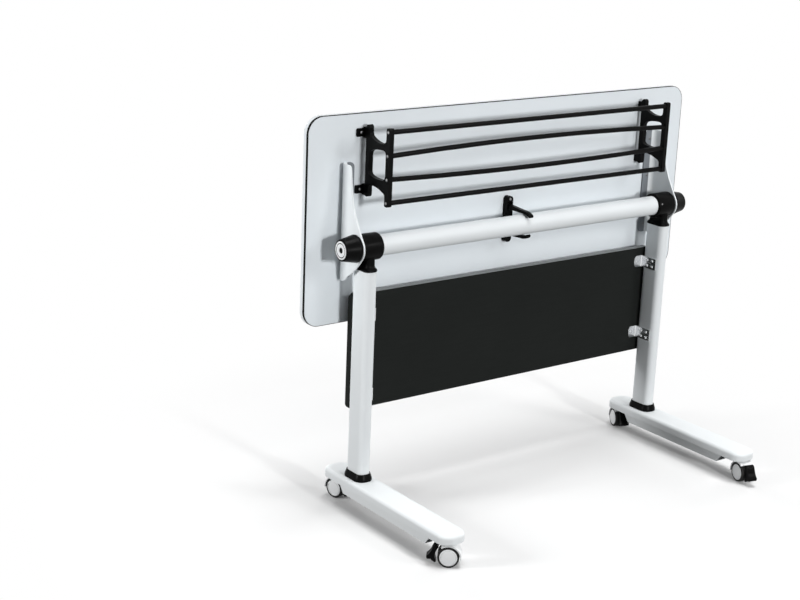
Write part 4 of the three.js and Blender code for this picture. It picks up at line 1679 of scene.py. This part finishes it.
@dataclass
class Castor:
    """A twin-wheel castor with a hood and a brake pedal, made with its pedal towards +X."""

    corner: Corner
    radius: float = 0.025
    trail: float = 0.006
    width: float = 0.014
    gap: float = 0.00425
    web: float = 0.0035
    tyre: float = 0.0043
    axle: float = 0.004
    axle_gap: float = 0.0004
    hood: float = 0.0265
    hood_wall: float = 0.003
    hood_front: float = 54.0
    hood_rear: float = 188.0
    swivel: float = 0.013
    height: float = 0.05775
    stem: float = 0.005
    stem_length: float = 0.012
    stem_sunk: float = 0.002
    cut_half: float = 0.05
    pedal_gap: float = 0.0012
    pedal_wall: float = 0.01
    pedal_half: float = 0.011
    pedal_hinge: float = 0.004
    pedal_top: float = 42.0
    pedal_heel: float = -27.0
    lip: float = 0.0095
    ribs: Sequence[float] = (20.5, 26.0, 31.5, 37.0)
    rib_span: float = 2.0

    @property
    def to_floor(self) -> Matrix:
        """Give the matrix from the castor's own frame to the row frame.

        Returns:
            The matrix, from the castor's joints.
        """
        stem = JOINTS[f"swivel_{self.corner.value}"]["pos_m"]
        across = JOINTS[f"roll_{self.corner.value}"]["axis"]
        heading = math.atan2(-across[0], across[1])
        return Matrix.Translation((stem[0], stem[1], 0.0)) @ Matrix.Rotation(heading, 4, "Z")

    @property
    def on_axle(self) -> Matrix:
        """Give the matrix that puts a shape made round the origin on the axle."""
        return Matrix.Translation((self.trail, 0.0, self.radius))

    @property
    def round_axle(self) -> Matrix:
        """Give the matrix that also lays a turned shape's axis along the axle."""
        return self.on_axle @ aimed((0.0, 0.0, 0.0), (0.0, 1.0, 0.0))

    def sector(self, inner: float, outer: float, start: float, stop: float, half: float) -> Stock:
        """Make a curved strip round the axle."""
        outline = arc((0.0, 0.0), outer, start, stop, 28) + arc((0.0, 0.0), inner, stop, start, 28)
        return Stock().plate([outline], -half, half, Facing.Y).moved(self.on_axle)

    def hood_stock(self) -> Stock:
        """Make the hood with its web, swivel head and stem.

        Returns:
            The hood.
        """
        ends = (self.hood_front, self.hood_rear)
        fender = self.sector(self.hood, self.hood + self.hood_wall, *ends, self.gap + self.width)
        hole = self.axle + self.axle_gap
        web = self.sector(hole, self.hood + 0.001, *ends, self.web)
        lug = Stock().tube(hole, 2 * self.axle, -self.web, self.web, steps=40).moved(self.round_axle)
        head = Stock().turned([
            (0.0, self.radius), (self.swivel, self.radius), (self.swivel, self.height - 0.001),
            (self.swivel - 0.001, self.height), (0.0, self.height)], steps=48)
        space = Stock().rod(self.hood, -self.cut_half, self.cut_half, steps=64).moved(self.round_axle)
        foot, top = self.height - self.stem_sunk, self.height + self.stem_length
        stem = Stock().rod(self.stem, foot, top, steps=32)
        return fender.with_stock(web, lug, head.cut(space), stem)

    def hub_stock(self) -> Stock:
        """Make the twin wheel hub with dished caps on one axle.

        Returns:
            The hub.
        """
        rim = self.radius - self.tyre - FIT
        out = self.gap + self.width
        face = [
            (self.axle, self.gap), (rim, self.gap), (rim, out - 0.0008), (rim - 0.0008, out),
            (0.86 * rim, out + 0.0004), (0.83 * rim, out - 0.0008), (0.8 * rim, out - 0.0008),
            (0.77 * rim, out + 0.0003), (0.4 * rim, out + 0.0011), (0.0, out + 0.0012)]
        profile = [(across, -along) for across, along in reversed(face)] + face
        return Stock().turned(profile, steps=64).moved(self.round_axle)

    def tyre_stock(self, way: int) -> Stock:
        """Make one tyre.

        Args:
            way: Sign of the side of the castor that it is on.

        Returns:
            The tyre.
        """
        inner = self.radius - self.tyre
        out = self.gap + self.width
        profile = [
            (inner, self.gap),
            (self.radius - 0.0018, self.gap),
            *arc((self.radius - 0.002, self.gap + 0.002), 0.002, -80, 0, 5),
            *arc((self.radius - 0.003, out - 0.003), 0.003, 0, 80, 6),
            (self.radius - 0.0032, out),
            (inner, out),
        ]
        loop = [(across, way * along) for across, along in profile]
        return Stock().turned(loop, steps=64, looped=True).moved(self.round_axle)

    def pedal_stock(self) -> Stock:
        """Make the boot-shaped brake pedal with its hinge barrel and grip ribs.

        Returns:
            The pedal.
        """
        inner = self.hood + self.hood_wall + self.pedal_gap
        outer, top, heel = inner + self.pedal_wall, self.pedal_top, self.pedal_heel
        toe = outer + self.lip

        def rim(radius: float, angle: float) -> Pair:
            """Give a point round the axle from its radius and angle in degrees."""
            turn = math.radians(angle)
            return radius * math.cos(turn), radius * math.sin(turn)

        boot = [
            # The inside, round the hood, down to the heel.
            *arc((0.0, 0.0), inner, top, heel, 16),
            rim(inner + 0.45 * self.pedal_wall, heel),
            # The sole and the toe.
            *bend(
                rim(inner + 0.6 * self.pedal_wall, 0.8 * heel),
                rim(outer, 0.6 * heel),
                rim(outer, 0.43 * heel), 5),
            rim(toe - 0.2 * self.lip, 0.39 * heel),
            rim(toe, 0.26 * heel),
            # The instep and the outside, up to the hinge.
            *bend(rim(toe, 0.07 * heel), rim(outer + 0.2 * self.lip, 6.0), rim(outer, 0.44 * top), 8),
            *arc((0.0, 0.0), outer, 0.5 * top, top, 8),
        ]
        half, barrel = self.pedal_half, self.pedal_hinge
        made = Stock().plate([boot], -half, half, Facing.Y).moved(self.on_axle)
        across, up = rim((inner + outer) / 2, top)
        hinge = self.round_axle @ Matrix.Translation((across, -up, 0.0))
        made.with_stock(Stock().rod(barrel, -half, half, steps=24).moved(hinge))
        for angle in self.ribs:
            ends = (angle, angle + self.rib_span)
            made.with_stock(self.sector(outer - 0.0008, outer + 0.0007, *ends, 0.8 * half))
        return made

    def build(self) -> None:
        """Build and dress the hood, wheels, tyres and pedal."""
        corner = self.corner.value
        name = f"castor_{corner}"
        pieces = (
            ("hood_look", self.hood_stock(), "swivel", WHITE_PLASTIC, "hood", 0.0006),
            ("hub_look", self.hub_stock(), "wheels", CAP, "wheel_hub", 0.0),
            ("tread_a", self.tyre_stock(1), "wheels", TYRE, "tyre_a", 0.0),
            ("tread_b", self.tyre_stock(-1), "wheels", TYRE, "tyre_b", 0.0),
            ("pedal_look", self.pedal_stock(), "pedal", BLACK_PLASTIC, "pedal", 0.0007),
        )
        for look, stock, body, finish, node, edge in pieces:
            stock.moved(self.to_floor)
            place(f"{name}_{look}", stock, f"{body}_{corner}", finish, [f"{name}_{node}"], edge)


@dataclass
class HiddenSteel:
    """The bolts and pins that stay inside other pieces."""

    nodes: Sequence[str] = ("pivot_bolt_left", "pivot_bolt_right", "lever_pin", "arm_pin")

    def build(self) -> None:
        """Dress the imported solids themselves."""
        for name in self.nodes:
            node = frame["nodes"][name]
            node.data.materials.clear()
            node.data.materials.append(STEEL.material())
            LOG.info("%s keeps its solid in %s", name, STEEL.name)


@dataclass(frozen=True)
class SoftBox:
    """A soft lamp with a flat face."""

    name: str
    spot: Sequence[float]
    target: Sequence[float]
    power: float
    face: Pair

    def hang(self) -> None:
        """Hang the lamp at its spot, with its face to the target."""
        data = bpy.data.lights.new(self.name, "AREA")
        data.shape = "RECTANGLE"
        data.energy = self.power
        data.size, data.size_y = self.face
        lamp = bpy.data.objects.new(self.name, data)
        bpy.context.scene.collection.objects.link(lamp)
        lamp.matrix_world = aimed(self.spot, Vector(self.spot) - Vector(self.target))


@dataclass
class Studio:
    """Floor, light and camera."""

    floor_half: float = 30.0
    floor_gap: float = 0.0002
    camera_place: Sequence[float] = (-2.582, -2.931, 1.601)
    azimuth: float = 36.998
    elevation: float = 16.53
    roll: float = 2.387
    lens: float = 72.4
    sensor: float = 36.0
    view_reach: float = 200.0
    ambient: float = 0.07
    ambient_colour: Colour = (0.95, 0.98, 1.0)
    floor_colour: Colour = (0.77, 0.77, 0.77)
    floor_bounce: Colour = (0.14, 0.14, 0.14)
    near_white: float = 0.05
    white_from: Pair = (0.55, 1.3)
    lamps: Sequence[SoftBox] = (
        SoftBox("key_softbox", (-0.15, -5.0, 1.66), (0.0, 0.2, 0.65), 149.0, (0.4, 0.6)),
        SoftBox("top_softbox", (1.4, -0.7, 13.7), (0.0, 0.1, 0.5), 1290.0, (6.4, 6.4)),
        SoftBox("right_softbox", (1.5, -2.6, 2.2), (0.0, 0.1, 0.5), 28.0, (0.8, 0.8)),
        SoftBox("back_softbox", (0.5, 3.6, 0.9), (0.0, 0.2, 0.55), 52.0, (1.6, 0.8)),
        SoftBox("left_softbox", (-2.5, BEAM.y + 0.5, 0.9), (-0.5, BEAM.y, 0.5), 34.0, (0.6, 0.6)),
        SoftBox("end_softbox", (3.2, BEAM.y + 0.3, 0.9), (0.5, BEAM.y, 0.5), 24.0, (0.8, 0.8)),
    )

    def world(self) -> None:
        """Make a surround that lights the table evenly and looks white to the camera."""
        world = bpy.data.worlds.new("white_surround")
        bpy.context.scene.world = world
        graph = Graph(world)
        graph.feed(graph.shader, {"Color": (*self.ambient_colour, 1.0), "Strength": self.ambient})
        graph.cross(graph.backing(), graph.node("ShaderNodeBackground", None, {"Color": WHITE}))

    def floor(self) -> None:
        """Make the pale floor, which keeps the table's shadow and turns white further out."""
        half = self.floor_half
        sheet = Stock()
        square = ((-half, -half), (half, -half), (half, half), (-half, half))
        corners = [Vector((x, y, -self.floor_gap)) for x, y in square]
        sheet.faces.append(sheet.take(corners))
        floor = bpy.data.objects.new("pale_floor", sheet.mesh("pale_floor"))
        bpy.context.scene.collection.objects.link(floor)
        material = bpy.data.materials.new("pale_floor")
        graph = Graph(material)
        backing = graph.backing()
        colour = graph.blend(backing, self.floor_bounce, self.floor_colour)
        graph.surface(base_color=colour, roughness=0.9, specular_ior_level=0.0)
        far = graph.node("ShaderNodeVectorMath", {"operation": "LENGTH"}, {0: graph.place()})
        away = Wire(graph, far.outputs["Value"]).softly(*self.white_from)
        share = backing * (self.near_white + away * (1.0 - self.near_white))
        graph.cross(share, graph.node("ShaderNodeEmission", None, {"Color": WHITE, "Strength": 1.0}))
        floor.data.materials.append(material)

    def camera(self) -> None:
        """Stand the camera where the photograph was taken."""
        data = bpy.data.cameras.new("photo_camera")
        data.sensor_width = self.sensor
        data.sensor_fit = "HORIZONTAL"
        data.lens = self.lens
        data.clip_end = self.view_reach
        camera = bpy.data.objects.new("photo_camera", data)
        bpy.context.scene.collection.objects.link(camera)
        angles = (self.azimuth, self.elevation, self.roll)
        heading, dip, roll = (math.radians(angle) for angle in angles)
        level = math.cos(dip)
        ahead = Vector((level * math.sin(heading), level * math.cos(heading), -math.sin(dip)))
        across = Vector((math.cos(heading), -math.sin(heading), 0.0))
        upright = across.cross(ahead)
        right = math.cos(roll) * across + math.sin(roll) * upright
        up = -math.sin(roll) * across + math.cos(roll) * upright
        turn = Matrix((right, up, -ahead)).transposed().to_4x4()
        camera.matrix_world = FROM_FLOOR @ Matrix.Translation(self.camera_place) @ turn
        bpy.context.scene.camera = camera

    def build(self) -> None:
        """Build the surround, the floor, the lamps and the camera."""
        bpy.context.scene.view_settings.view_transform = "Standard"
        self.world()
        self.floor()
        for lamp in self.lamps:
            lamp.hang()
        self.camera()


def main() -> None:
    """Build the studio, then the table piece by piece."""
    logging.basicConfig(level=logging.INFO, format="%(name)s: %(message)s")
    assemblies = [Studio(), Tabletop(), Beam(), Basket(), Latch(), Panel(), HiddenSteel()]
    for side in Side:
        assemblies += [Hub(side), Leg(side), TiltPlate(side)]
    assemblies += [Castor(corner) for corner in Corner]
    for assembly in assemblies:
        assembly.build()


if __name__ == "__main__":
    main()
